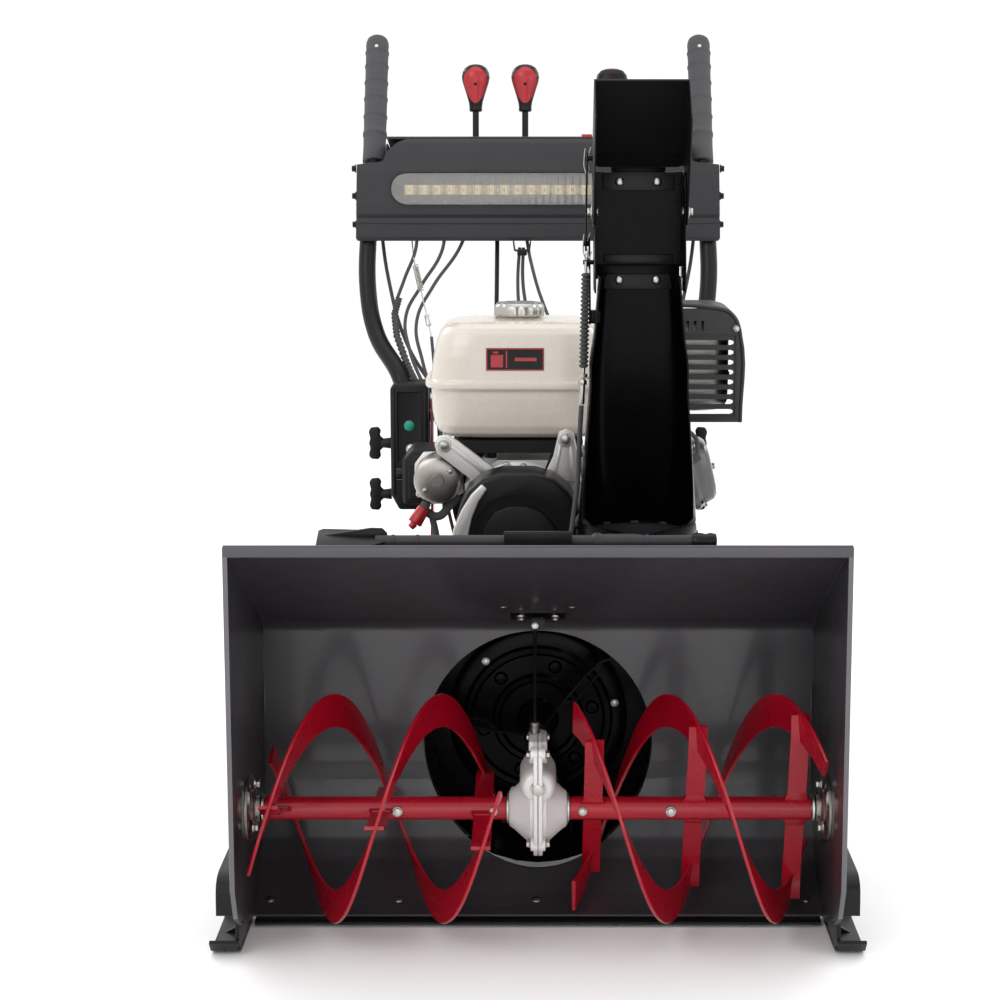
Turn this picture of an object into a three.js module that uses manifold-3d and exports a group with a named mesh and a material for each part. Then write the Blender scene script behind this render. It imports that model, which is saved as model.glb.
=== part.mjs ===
// Two stage snowblower: a wheeled machine with a ribbon auger in front, an impeller behind it,
// a steerable discharge chute, a horizontal-shaft engine and a pair of handlebars with a control panel.
// Units are millimetres. +X is to the right seen from in front of the machine, +Y runs from the auger
// housing back to the handles, +Z is up, and the ground is Z = 0.
import * as THREE from "three";
import { mergeVertices } from "three/addons/utils/BufferGeometryUtils.js";
import Module from "manifold-3d";

const wasm = await Module();
wasm.setup();

// ---------------------------------------------------------------- driving dimensions
const INTAKE_WIDTH = 760; // outside of the auger housing
const SHEET = 3; // housing sheet thickness
const LIP_Z = 546; // height of the intake's top lip
const BACK_Y = 345; // inside of the housing's back wall
const AUGER = { y: 160, z: 170, radius: 149, tube: 15 };
const AUGER_LEAD = 280; // one turn of a ribbon along the shaft
const AUGER_ENDS = { inner: 46, outer: 360 }; // ribbon ends, from the middle
const RIBBON_WIDTH = 44;
const RIBBON_THICK = 4;
const IMPELLER = { z: 208, radius: 149, disc: 468 };
const DRUM = { radius: 156, wall: 3, front: 300, back: 495 };
const CHUTE = { x: 138, y: 421, ring: 470 };
const NECK = { radius: 70, wall: 3, foot: 235, lean: 0.2 };
const WHEEL = { y: 750, radius: 200, width: 118, x: 245, rim: 104 };
const CHASSIS = { half: 140, front: 592, back: 880, bottom: 112, top: 340, wall: 4 };
const ENGINE = { x: -27, crankZ: 472, front: 616, back: 792 };
const TANK = { x: -27, half: 134, front: 606, back: 820, bottom: 590, top: 760 };
const HANDLE = { x: 276, tube: 14 };
const PANEL = { half: 250, foot: 296, bottom: 862, top: 1030, front: 1002, back: 1112, wall: 4 };
const LEVER_PIVOT = { y: 1062, z: 930 };
const GAP = 0.4; // clearance between touching pieces

// ---------------------------------------------------------------- colours
const paint = (colour, roughness = 0.45, metalness = 0) =>
  new THREE.MeshStandardMaterial({ color: colour, roughness, metalness });
const FINISH = {
  greySheet: paint(0x4a4950, 0.35, 0.2),
  blackPaint: paint(0x101012, 0.3, 0.2),
  redPaint: paint(0xb00c22, 0.35, 0.1),
  aluminium: paint(0x9c9a98, 0.45, 0.9),
  steel: paint(0x8f8d88, 0.35, 0.9),
  cream: paint(0xd8d0c4, 0.4),
  blackPlastic: paint(0x232325, 0.6),
  greyPlastic: paint(0x47474a, 0.55),
  rubber: paint(0x18181a, 0.85),
  lens: paint(0xe8e4da, 0.1),
  led: paint(0xe0c080, 0.4),
};

// ---------------------------------------------------------------- solid helpers
// A three.js geometry as a solid, placed by a matrix.
function solid(geometry, matrix = new THREE.Matrix4()) {
  const plain = geometry.index ? geometry.toNonIndexed() : geometry.clone();
  plain.deleteAttribute("normal");
  plain.deleteAttribute("uv");
  plain.applyMatrix4(matrix);
  const merged = mergeVertices(plain, 1e-3);
  const triVerts = new Uint32Array(merged.index.array);
  const at = (i) => new THREE.Vector3().fromBufferAttribute(merged.attributes.position, triVerts[i]);
  let volume = 0;
  for (let i = 0; i < triVerts.length; i += 3) volume += at(i).cross(at(i + 1)).dot(at(i + 2));
  if (volume < 0)
    for (let i = 0; i < triVerts.length; i += 3)
      [triVerts[i + 1], triVerts[i + 2]] = [triVerts[i + 2], triVerts[i + 1]];
  const vertProperties = merged.attributes.position.array;
  return new wasm.Manifold(new wasm.Mesh({ numProp: 3, vertProperties, triVerts }));
}

const join = (...parts) => parts.reduce((a, b) => a.add(b));
const cut = (body, ...tools) => tools.reduce((a, b) => a.subtract(b), body);

function geometryOf(body) {
  const mesh = body.getMesh();
  const stride = mesh.numProp;
  const points = new Float32Array(mesh.numVert * 3);
  for (let i = 0; i < mesh.numVert; i++)
    points.set(mesh.vertProperties.subarray(i * stride, i * stride + 3), i * 3);
  return new THREE.BufferGeometry()
    .setAttribute("position", new THREE.BufferAttribute(points, 3))
    .setIndex(new THREE.BufferAttribute(mesh.triVerts, 1));
}

// A box between two corners.
function brick(x0, x1, y0, y1, z0, z1) {
  const place = new THREE.Matrix4().makeTranslation((x0 + x1) / 2, (y0 + y1) / 2, (z0 + z1) / 2);
  return solid(new THREE.BoxGeometry(x1 - x0, y1 - y0, z1 - z0), place);
}

const turned = {
  x: new THREE.Matrix4().makeRotationZ(-Math.PI / 2),
  y: new THREE.Matrix4(),
  z: new THREE.Matrix4().makeRotationX(Math.PI / 2),
};

// A cylinder or frustum along an axis, from one place to another on it.
function rod(axis, radius, from, to, u, v, sides = 24, endRadius = radius) {
  const middle = (from + to) / 2;
  const centre = { x: [middle, u, v], y: [u, middle, v], z: [u, v, middle] }[axis];
  const shape = new THREE.CylinderGeometry(endRadius, radius, to - from, sides);
  return solid(shape, new THREE.Matrix4().makeTranslation(...centre).multiply(turned[axis]));
}

// An outline of [u, v] points pushed along an axis: x takes (y, z), y takes (x, z), z takes (x, y).
function prism(axis, outline, from, to) {
  const shape = new THREE.Shape(outline.map(([u, v]) => new THREE.Vector2(u, v)));
  const body = new THREE.ExtrudeGeometry(shape, { depth: to - from, bevelEnabled: false });
  const basis = {
    x: [[0, 1, 0], [0, 0, 1], [1, 0, 0]],
    y: [[1, 0, 0], [0, 0, 1], [0, 1, 0]],
    z: [[1, 0, 0], [0, 1, 0], [0, 0, 1]],
  }[axis].map((v) => new THREE.Vector3(...v));
  const place = new THREE.Matrix4().makeBasis(...basis).setPosition(basis[2].clone().multiplyScalar(from));
  return solid(body, place);
}

// A round bar along a smooth route.
function bar(route, radius, sides = 12, steps = 16) {
  const path = new THREE.CatmullRomCurve3(route.map((p) => new THREE.Vector3(...p)), false, "catmullrom", 0.4);
  const section = new THREE.Shape();
  for (let i = 0; i < sides; i++) {
    const turn = (2 * Math.PI * i) / sides;
    const point = [radius * Math.cos(turn), radius * Math.sin(turn)];
    if (i) section.lineTo(...point);
    else section.moveTo(...point);
  }
  section.closePath();
  return solid(new THREE.ExtrudeGeometry(section, { steps, extrudePath: path, bevelEnabled: false }));
}

// A ring or turned shape: [radius, height] points, turned about an axis through (u, v).
function lathe(axis, outline, u, v, sides = 32, at = 0) {
  const shape = new THREE.LatheGeometry(outline.map(([r, h]) => new THREE.Vector2(r, h)), sides);
  const centre = { x: [at, u, v], y: [u, at, v], z: [u, v, at] }[axis];
  const body = solid(shape, new THREE.Matrix4().makeTranslation(...centre).multiply(turned[axis]));
  return body;
}

// The points of an outline moved outwards along their normals, which point left of its run.
function offset(line, distance) {
  return line.map(([u, v], i) => {
    const before = line[Math.max(0, i - 1)];
    const after = line[Math.min(line.length - 1, i + 1)];
    const run = new THREE.Vector2(after[0] - before[0], after[1] - before[1]).normalize();
    return [u + run.y * -distance, v + run.x * distance];
  });
}

const machine = new THREE.Group();

function add(name, body, finish) {
  const mesh = new THREE.Mesh(geometryOf(body), finish);
  mesh.name = name;
  machine.add(mesh);
}

// ---------------------------------------------------------------- auger housing
const half = INTAKE_WIDTH / 2;
// Inside of the wrapped sheet, from the lip back over the top, down the back wall and under the auger.
const wrap = [
  [0, LIP_Z], [322, 390], [336, 382], [BACK_Y, 369], [BACK_Y, 180], [336, 130], [310, 84], [262, 40], [220, 19], [186, 13],
];
const wrapOuter = offset(wrap, SHEET);
const sheetLoop = [...wrap, ...[...wrapOuter].reverse()];
const sideOutline = [
  [0, LIP_Z], ...wrapOuter.slice(1, -1), [186, 10], [146, 20], [112, 32], [60, 50], [22, 72], [0, 112],
];
const drumBore = rod("y", DRUM.radius + DRUM.wall + GAP, 240, 420, 0, IMPELLER.z, 32);
const housing = join(
  cut(prism("x", sheetLoop, -half, half), drumBore),
  prism("x", sideOutline, -half, -half + SHEET),
  prism("x", sideOutline, half - SHEET, half),
  brick(-half, half, -SHEET, 0.5, LIP_Z - 14, LIP_Z + 2),
);
add("auger_housing", housing, FINISH.greySheet);

const scraper = prism("x", [[178, 3], [183, 3], [186, 6.4], [214, 11.4], [213.5, 14], [184.6, 9], [178, 8.6]], -half + 6, half - 6);
add("scraper_blade", scraper, FINISH.blackPaint);

// Reversible skid shoe: an upright web with a curled runner along its foot and another along its top.
function skidShoe(side) {
  const inner = half + GAP;
  const between = (near, far) => [Math.min(side * (inner + near), side * (inner + far)), Math.max(side * (inner + near), side * (inner + far))];
  const runner = [[66, 24], [71, 24], [84, 7], [96, 5], [206, 5], [218, 7], [231, 24], [236, 24], [236, 19], [222, 4], [206, 0], [96, 0], [80, 4], [66, 19]];
  const top = [[66, 56], [71, 56], [73, 88], [82, 98], [96, 101], [206, 101], [220, 98], [229, 88], [231, 56], [236, 56], [236, 90], [224, 102], [206, 106], [96, 106], [78, 102], [66, 90]];
  return join(
    brick(...between(0, 5), 72, 230, 4, 102),
    prism("x", runner, ...between(0, 38)),
    prism("x", top, ...between(0, 28)),
  );
}
add("skid_shoe_left", skidShoe(-1), FINISH.blackPaint);
add("skid_shoe_right", skidShoe(1), FINISH.blackPaint);

// Flanged side bearing that carries the outer end of the auger shaft.
function augerBearing(side) {
  const outline = [[9.5, 0], [44, 0], [44, 7], [21, 12], [21, 17], [9.5, 17], [9.5, 0]];
  const body = lathe("x", outline, 0, 0, 18);
  const face = side * (half - SHEET - GAP);
  const place = [side > 0 ? -1 : 1, 0, 0, 0, 0, 1, 0, 0, 0, 0, 1, 0];
  place[3] = face;
  place[7] = AUGER.y;
  place[11] = AUGER.z;
  return solid(geometryOf(body), new THREE.Matrix4().set(...place, 0, 0, 0, 1));
}
add("auger_bearing_left", augerBearing(-1), FINISH.steel);
add("auger_bearing_right", augerBearing(1), FINISH.steel);

// ---------------------------------------------------------------- augers
// One ribbon: a flat strip wound about the shaft, and the straps that carry it.
function ribbon(side, start, sides = 22) {
  const from = AUGER_ENDS.inner * side;
  const to = AUGER_ENDS.outer * side;
  const turns = (to - from) / AUGER_LEAD;
  const inner = AUGER.radius - RIBBON_WIDTH;
  const positions = [];
  const index = [];
  for (let i = 0; i <= sides; i++) {
    const share = i / sides;
    const x = from + (to - from) * share;
    const turn = start + 2 * Math.PI * turns * share * side;
    for (const [radius, dx] of [[inner, 0], [AUGER.radius, 0], [AUGER.radius, RIBBON_THICK], [inner, RIBBON_THICK]])
      positions.push(x + dx - RIBBON_THICK / 2, AUGER.y - radius * Math.sin(turn), AUGER.z + radius * Math.cos(turn));
  }
  for (let i = 0; i < sides; i++)
    for (let k = 0; k < 4; k++) {
      const a = 4 * i + k;
      const b = 4 * i + ((k + 1) % 4);
      index.push(a, b, b + 4, a, b + 4, a + 4);
    }
  const last = 4 * sides;
  index.push(0, 3, 2, 0, 2, 1, last, last + 1, last + 2, last, last + 2, last + 3);
  const strip = new THREE.BufferGeometry()
    .setAttribute("position", new THREE.Float32BufferAttribute(positions, 3))
    .setIndex(index);
  return solid(strip);
}

// A flat strap from the tube out to the ribbon, at one place on the shaft.
function strap(x, turn) {
  const reach = AUGER.radius - 6;
  const flat = new THREE.BoxGeometry(24, 5, reach - AUGER.tube + 3);
  const place = new THREE.Matrix4()
    .makeTranslation(x, AUGER.y, AUGER.z)
    .multiply(new THREE.Matrix4().makeRotationX(turn))
    .multiply(new THREE.Matrix4().makeTranslation(0, 0, (reach + AUGER.tube - 3) / 2));
  return solid(flat, place);
}

const RIBBON_PHASE = { left: 1.131, right: 0.135 }; // turn of the first ribbon at its inner end
function auger(side, phase) {
  const tube = cut(
    rod("x", AUGER.tube, side > 0 ? 41 : -354, side > 0 ? 354 : -41, AUGER.y, AUGER.z, 12),
    rod("x", 10, -380, 380, AUGER.y, AUGER.z, 12),
  );
  const parts = [tube];
  for (const start of [phase, phase + Math.PI]) {
    parts.push(ribbon(side, start));
    for (const share of [0.08, 0.5, 0.92]) {
      const x = side * (AUGER_ENDS.inner + (AUGER_ENDS.outer - AUGER_ENDS.inner) * share);
      const turns = ((AUGER_ENDS.outer - AUGER_ENDS.inner) * share) / AUGER_LEAD;
      parts.push(strap(x, start + 2 * Math.PI * turns));
    }
  }
  return join(...parts);
}
add("auger_left", auger(-1, RIBBON_PHASE.left), FINISH.redPaint);
add("auger_right", auger(1, RIBBON_PHASE.right), FINISH.redPaint);
const wormWheel = rod("x", 24, -7, 7, AUGER.y, AUGER.z, 24);
add("auger_shaft", join(rod("x", 9, -half + 6, half - 6, AUGER.y, AUGER.z, 12), wormWheel), FINISH.steel);

// ---------------------------------------------------------------- auger gearbox
// The case splits on the machine's middle plane; each half is a dished casting.
const caseOuter = join(
  rod("x", 46, -12, 12, AUGER.y, AUGER.z, 20),
  rod("x", 46, 12, 38, AUGER.y, AUGER.z, 20, 24),
  rod("x", 24, -38, -12, AUGER.y, AUGER.z, 20, 46),
  rod("y", 24, 118, 226, 0, IMPELLER.z, 16),
  brick(-13, 13, 128, 214, 205, 262),
);
const caseFlange = prism(
  "x", [[116, 128], [150, 112], [186, 116], [212, 146], [232, 196], [232, 236], [206, 266], [140, 266], [112, 232]], -6, 6,
);
const caseInner = join(
  rod("x", 35, -12, 12, AUGER.y, AUGER.z, 16),
  rod("x", 9.8, -60, 60, AUGER.y, AUGER.z, 12),
  rod("y", 17, 130, 216, 0, IMPELLER.z, 14),
  rod("y", 9.8, 200, 260, 0, IMPELLER.z, 12),
);
const gearcase = cut(join(caseOuter, caseFlange), caseInner);
add("gearbox_left_half", gearcase.intersect(brick(-90, -GAP / 2, 60, 300, 90, 300)), FINISH.aluminium);
add("gearbox_right_half", gearcase.intersect(brick(GAP / 2, 90, 60, 300, 90, 300)), FINISH.aluminium);

// Stay that stops the gearbox turning: a bracket bolted to the back wall and a thin rod down to the case.
const stay = join(
  prism("x", [[284, 407.6], [318, 391.2], [318, 387], [284, 403.4]], -37, 37),
  brick(-9, 9, 284, 288, 380, 405),
  bar([[-4, 287, 384], [-4, 236, 322], [-4, 196, 270]], 2, 6, 4),
);
add("gearbox_stay", cut(stay, brick(-40, 40, 100, 260, 0, 266.6)), FINISH.blackPaint);

// ---------------------------------------------------------------- impeller and its drum
const wrapSolid = prism("x", [...wrapOuter, [-60, 8], [-60, LIP_Z + 3]].map(([y, z]) => [y + GAP, z]), -half, half);
const drumOuter = rod("y", DRUM.radius + DRUM.wall, DRUM.front, DRUM.back, 0, IMPELLER.z, 32);
const lean = new THREE.Matrix4().set(1, 0, NECK.lean, -NECK.lean * CHUTE.ring, 0, 1, 0, 0, 0, 0, 1, 0, 0, 0, 0, 1);
const neckTube = (radius, from, to) =>
  solid(geometryOf(rod("z", radius, from, to, CHUTE.x, CHUTE.y, 20)), lean);
const drumHollow = join(
  rod("y", DRUM.radius, DRUM.front - 5, DRUM.back - 4, 0, IMPELLER.z, 32),
  neckTube(NECK.radius - NECK.wall, NECK.foot, CHUTE.ring + 1),
  rod("z", NECK.radius - NECK.wall, CHUTE.ring - 6, CHUTE.ring + 10, CHUTE.x, CHUTE.y, 20),
  rod("y", 12, DRUM.back - 10, DRUM.back + 10, 0, IMPELLER.z, 16),
);
const drum = cut(
  join(
    drumOuter,
    neckTube(NECK.radius, NECK.foot, CHUTE.ring - 4),
    rod("z", 86, CHUTE.ring - 5, CHUTE.ring, CHUTE.x, CHUTE.y, 28),
  ),
  drumHollow,
  wrapSolid,
);
add("impeller_drum", drum, FINISH.blackPaint);

// Impeller: a disc with three paddles; each paddle has a folded tip.
const paddle = (turn) => {
  const plate = join(brick(-3, 3, 372, 468, 16, IMPELLER.radius), brick(-3, 18, 372, 376, 60, IMPELLER.radius));
  const place = new THREE.Matrix4().makeTranslation(0, 0, IMPELLER.z).multiply(new THREE.Matrix4().makeRotationY(turn));
  return solid(geometryOf(plate), place);
};
const impeller = cut(
  join(
    rod("y", 128, IMPELLER.disc, IMPELLER.disc + 4, 0, IMPELLER.z, 40),
    rod("y", 20, 372, IMPELLER.disc + 4, 0, IMPELLER.z, 20),
    ...[0.65, 0.65 + 2.094, 0.65 + 4.189].map(paddle),
  ),
  rod("y", 9 + GAP, 340, 500, 0, IMPELLER.z, 16),
);
add("impeller", impeller, FINISH.blackPaint);
const worm = rod("y", 13, 146, 176, 0, IMPELLER.z, 20);
add("impeller_shaft", join(rod("y", 9, 132, 578, 0, IMPELLER.z, 16), worm), FINISH.steel);

// ---------------------------------------------------------------- belt drive
const pulley = (x, z, radius, bore, from) =>
  cut(
    lathe("y", [[bore, 0], [radius, 0], [radius - 8, 9], [radius, 18], [bore, 18], [bore, 0]], x, z, 20, from),
  );
add("impeller_pulley", pulley(0, IMPELLER.z, 88, 9 + GAP, 545), FINISH.steel);
add("engine_pulley", join(
  pulley(ENGINE.x, ENGINE.crankZ, 36, 12, 545),
  rod("y", 12.5, 543, 640, ENGINE.x, ENGINE.crankZ, 16),
), FINISH.steel);

// Belt around both pulleys: an open loop of outline minus its inside.
function beltLoop(grow) {
  const points = [];
  const steps = 12;
  const tilt = Math.atan2(ENGINE.x, ENGINE.crankZ - IMPELLER.z);
  for (let i = 0; i <= steps; i++) {
    const turn = Math.PI / 2 + tilt * -1 - (Math.PI * i) / steps + Math.PI / 2;
    points.push([ENGINE.x + (31 + grow) * Math.cos(turn), ENGINE.crankZ + (31 + grow) * Math.sin(turn)]);
  }
  for (let i = 0; i <= steps; i++) {
    const turn = -tilt - (Math.PI * i) / steps;
    points.push([(83 + grow) * Math.cos(turn), IMPELLER.z + (83 + grow) * Math.sin(turn)]);
  }
  return points;
}
add("auger_belt", cut(prism("y", beltLoop(10), 551, 557), prism("y", beltLoop(6.2), 540, 570)), FINISH.rubber);

// Belt cover: a tall moulded shell, closed in front and round its rim, open towards the chassis.
const coverOutline = [
  [-118, 104], [118, 104], [112, 330], [76, 440], [60, 520], [32, 550], [-4, 558], [-56, 558], [-90, 548],
  [-112, 516], [-126, 440], [-128, 330],
];
const coverInner = coverOutline.map(([x, z]) => [(x + 10) * 0.95 - 10, (z - 340) * 0.967 + 340]);
const beltCover = cut(
  prism("y", coverOutline, 500, 588),
  prism("y", coverInner, 504, 600),
  rod("y", 14, 490, 520, 0, IMPELLER.z, 20),
);
add("belt_cover", beltCover, FINISH.blackPlastic);

// ---------------------------------------------------------------- chassis
const c = CHASSIS;
const chassis = cut(
  brick(-c.half, c.half, c.front, c.back, c.bottom, c.top),
  brick(-c.half + c.wall, c.half - c.wall, c.front + c.wall, c.back - c.wall, c.bottom - 5, c.top - c.wall),
  rod("x", 22, -c.half - 5, -c.half + 10, WHEEL.y, WHEEL.radius, 20),
  rod("x", 22, c.half - 10, c.half + 5, WHEEL.y, WHEEL.radius, 20),
  rod("y", 100, c.front - 5, c.front + 10, 0, IMPELLER.z + 10, 24),
);
// Sheet cheeks that carry the handlebars, welded to the back of the chassis.
const cheek = (s) => join(
  prism("x", [[806, 300], [878, 300], [900, 460], [900, 620], [868, 620], [856, 460]], s > 0 ? 166 : -170, s > 0 ? 170 : -166),
  brick(Math.min(s * 138, s * 168), Math.max(s * 138, s * 168), 806, 876, 300, 304),
);
add("chassis_frame", join(chassis, cheek(-1), cheek(1)), FINISH.redPaint);
add("bottom_cover", brick(-c.half, c.half, c.front, c.back, c.bottom - 4, c.bottom - GAP), FINISH.blackPaint);

// ---------------------------------------------------------------- wheels
function tyre(side) {
  const w = WHEEL.width / 2;
  const outline = [
    [WHEEL.rim + GAP, -w + 8], [150, -w], [186, -w + 8], [WHEEL.radius, -w + 26], [WHEEL.radius, w - 26],
    [186, w - 8], [150, w], [WHEEL.rim + GAP, w - 8], [WHEEL.rim + GAP, -w + 8],
  ];
  return lathe("x", outline, WHEEL.y, WHEEL.radius, 28, side * WHEEL.x);
}
function rim(side) {
  const w = WHEEL.width / 2;
  const barrel = [[98, -w + 4], [WHEEL.rim, -w + 4], [WHEEL.rim, w - 4], [98, w - 4], [98, -w + 4]];
  const x = side * WHEEL.x;
  const shaftEnd = side * (c.half - 30);
  const outer = x + side * 30;
  return join(
    lathe("x", barrel, WHEEL.y, WHEEL.radius, 28, x),
    rod("x", 99, x - 4, x + 4, WHEEL.y, WHEEL.radius, 28),
    rod("x", 26, x - 30, x + 30, WHEEL.y, WHEEL.radius, 14),
    rod("x", 12, Math.min(shaftEnd, outer), Math.max(shaftEnd, outer), WHEEL.y, WHEEL.radius, 16),
  );
}
for (const [word, side] of [["left", -1], ["right", 1]]) {
  add(`tyre_${word}`, tyre(side), FINISH.rubber);
  add(`wheel_rim_${word}`, rim(side), FINISH.greySheet);
}
const carrier = cut(
  brick(-c.half + c.wall + GAP, c.half - c.wall - GAP, WHEEL.y - 34, WHEEL.y + 34, WHEEL.radius - 34, WHEEL.radius + 34),
  rod("x", 12 + GAP, -200, 200, WHEEL.y, WHEEL.radius, 16),
  brick(-96, 96, WHEEL.y - 40, WHEEL.y + 40, WHEEL.radius - 40, WHEEL.radius + 24),
);
add("axle_carrier", carrier, FINISH.steel);

// ---------------------------------------------------------------- engine
const e = ENGINE;
const LEAN = 0.224; // the cylinder rises to the right
const along = new THREE.Matrix4().makeTranslation(e.x, 0, e.crankZ).multiply(new THREE.Matrix4().makeRotationY(-LEAN));
const leaning = (body) => solid(geometryOf(body), along);
const fins = [118, 140, 162, 184, 206, 228].map((r) => brick(r, r + 6, 634, 766, -66, 68));
const engineBlock = cut(
  join(
    prism("y", [[-108, c.top + GAP], [60, c.top + GAP], [86, 400], [86, 520], [40, 560], [-60, 560], [-108, 524]], e.front, e.back),
    leaning(join(brick(70, 258, 648, 752, -50, 50), ...fins)),
    rod("y", 20, 596, e.front + 5, e.x, e.crankZ, 20),
  ),
  rod("y", 12.5 + GAP, 590, 642, e.x, e.crankZ, 20),
);
add("engine_block", engineBlock, FINISH.aluminium);
add("valve_cover", leaning(join(
  brick(258 + GAP, 272, 642, 758, -56, 56),
  prism("x", [[650, -48], [750, -48], [750, 48], [650, 48]], 271, 296),
)), FINISH.greySheet);

const t = TANK;
const tankOutline = (s) => [
  [-t.half, 671], [-t.half + 5, 705], [-t.half + 16, 744], [-t.half + 32, t.top], [t.half - 32, t.top],
  [t.half - 16, 744], [t.half - 5, 705], [t.half, 671], [t.half - 3, 628], [t.half - 20, 602], [t.half - 42, t.bottom],
  [-t.half + 42, t.bottom], [-t.half + 20, 602], [-t.half + 3, 628],
].map(([x, z]) => [t.x + x * s, 675 + (z - 675) * s]);
const tankPlan = (grow) => [
  [-142, 640], [-142, 800], [-110, 822], [110, 822], [142, 800], [142, 640], [112, 606], [-112, 606],
].map(([x, y]) => [t.x + x * (1 + grow / 142), 715 + (y - 715) * (1 + grow / 110)]);
const tank = cut(
  join(
    prism("y", tankOutline(1), 600, 828).intersect(prism("z", tankPlan(0), 580, 780)),
    prism("z", tankPlan(6), 665, 675),
    rod("z", 30, 755, 764, -28, 720, 24),
  ),
  prism("y", tankOutline(0.965), 610, 818).intersect(prism("z", tankPlan(-5), 580, 780)),
  rod("z", 20, 740, 770, -28, 720, 20),
);
add("fuel_tank", tank, FINISH.cream);
add("fuel_cap", join(
  lathe("z", [[0, 0], [37, 0], [38.5, 2], [38.5, 17], [34, 21], [0, 21]], -28, 720, 20, 764 + GAP),
  rod("z", 18, 748, 766, -28, 720, 16),
), FINISH.steel);
const tankBracket = join(
  brick(-150, 62, 606, 615.4, 572, 589),
  prism("y", [[-150, 589], [-116, 589], [-66, 546], [-60, 528], [-76, 518], [-96, 534], [-148, 580]], 609, 615.4),
  prism("y", [[26, 589], [54, 589], [60, 560], [60, 534], [4, 534], [10, 546]], 609, 615.4),
  brick(-120, 66, 606, 800, 586, 589.6),
  ...[[-70, 640], [30, 640], [-70, 770], [30, 770]].map(([x, y]) => rod("z", 9, 560 + GAP, 588, x, y, 12)),
);
add("tank_bracket", tankBracket, FINISH.aluminium);

const guardOutline = [[124, 612], [302, 612], [302, 742], [292, 770], [268, 785], [150, 785], [124, 768]];
const guardInner = [[126, 600], [300, 600], [300, 741], [290, 768], [267, 783], [151, 783], [126, 767]];
const guard = cut(
  prism("y", guardOutline, 640, 762),
  prism("y", guardInner, 642, 770),
  ...Array.from({ length: 8 }, (_, i) => brick(160, 286, 635, 645, 626 + 15 * i, 634 + 15 * i)),
);
add("muffler_guard", guard, FINISH.greySheet);
const mufflerShell = prism("y", [[140, 634], [150, 624], [274, 624], [286, 636], [286, 740], [262, 764], [156, 764], [140, 748]], 658, 748);
const muffler = join(
  mufflerShell,
  leaning(brick(190, 226, 684, 716, 68 + GAP, 130)),
  rod("y", 5, 642 + GAP, 660, 150, 640, 10),
  rod("y", 5, 642 + GAP, 660, 270, 752, 10),
);
add("muffler", muffler, FINISH.steel);
add("carburettor_cover", prism("y", [[-206, 478], [-109, 478], [-109, 566], [-190, 566], [-206, 550]], 696, 788), FINISH.blackPlastic);
add("starter_motor", join(
  rod("y", 36, 624, 690, -149, 527, 28),
  brick(-128, -109, 640, 676, 512, 522),
), FINISH.steel);
add("recoil_housing", cut(
  lathe("y", [[0, 0], [108, 0], [108, 30], [92, 48], [0, 52]], e.x, e.crankZ, 24, e.back + GAP),
  rod("x", 6, 40, 100, 826, 508, 12),
), FINISH.blackPlastic);
add("recoil_handle", join(
  rod("y", 4, 842, 872, 44, 530, 10),
  rod("x", 11, 8, 80, 878, 530, 16),
), FINISH.rubber);

// ---------------------------------------------------------------- discharge chute
const hinge1 = { y: 471.5, z: 848 };
const hinge2 = { y: 464.5, z: 987 };
const LINK = { foot: [484, 884], head: [428, 1002] }; // pins of the bar that tips the hood
const cone = (inset) => {
  const body = new THREE.CylinderGeometry(55 - inset, 84 - inset, 362, 24);
  const slope = new THREE.Matrix4().set(1, 0, 0, 0, 0, 1, -0.025, 0, 0, 0, 1, 0, 0, 0, 0, 1);
  const place = new THREE.Matrix4().makeTranslation(CHUTE.x, CHUTE.y - 4.5, 663).multiply(slope).multiply(turned.z);
  return solid(body, place);
};
const chuteLower = cut(
  join(
    cone(0),
    lathe("z", [[62, 0], [85, 0], [85, 10], [80, 16], [62, 16], [62, 0]], CHUTE.x, CHUTE.y, 28, CHUTE.ring + GAP),
    brick(71, 92, 428, 452, 775, 797),
    prism("x", [[428, 775], [452, 775], [493, 876], [490, 893], [476, 892], [428, 800]], 70, 73),
    rod("x", 4, 63, 71, ...LINK.foot, 12),
    brick(CHUTE.x - 40, CHUTE.x + 40, 465, 471.5, 828, hinge1.z),
    rod("x", 3, CHUTE.x - 40, CHUTE.x + 40, hinge1.y, hinge1.z, 12),
  ),
  cone(2.5),
  rod("z", 66, 460, 500, CHUTE.x, CHUTE.y, 24),
  brick(CHUTE.x - 100, CHUTE.x + 100, 280, 385, 505, 880),
);
add("chute_lower", chuteLower, FINISH.blackPaint);

// A bent sheet with two side walls: an outline seen from the side, and the room cut out of it.
const hood = (outline, room, halfWidth) => cut(
  prism("x", outline, CHUTE.x - halfWidth, CHUTE.x + halfWidth),
  prism("x", room, CHUTE.x - halfWidth + 2, CHUTE.x + halfWidth - 2),
);
const middle = hood(
  [[474, 852], [464, 984], [392, 984], [386, 940], [376, 900], [368, 848], [372, 822], [464, 822], [470, 846]],
  [[490, 800], [490, 852], [471.5, 852], [461.4, 990], [300, 990], [300, 800]],
  61.6,
);
add("deflector_middle", join(
  middle,
  brick(CHUTE.x - 38, CHUTE.x + 38, 461, 464.5, 966, hinge2.z),
  rod("x", 3, CHUTE.x - 38, CHUTE.x + 38, hinge2.y, hinge2.z, 12),
), FINISH.blackPaint);
const top = hood(
  [[465, 991], [366, 1107], [306, 1052], [372, 925], [396, 910], [440, 958]],
  [[490, 880], [490, 990.6], [462.9, 990.6], [364.3, 1105.3], [338, 1136], [200, 1136], [200, 880]],
  64,
);
add("deflector_top", join(top, rod("x", 4, 63, 75, ...LINK.head, 12)), FINISH.blackPaint);
add("deflector_link", cut(
  prism("x", [[480, 874], [494, 880], [432, 1012], [418, 1006]], 65, 68),
  rod("x", 4 + GAP, 60, 80, ...LINK.foot, 12),
  rod("x", 5.2, 60, 80, ...LINK.head, 16),
), FINISH.steel);

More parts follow.
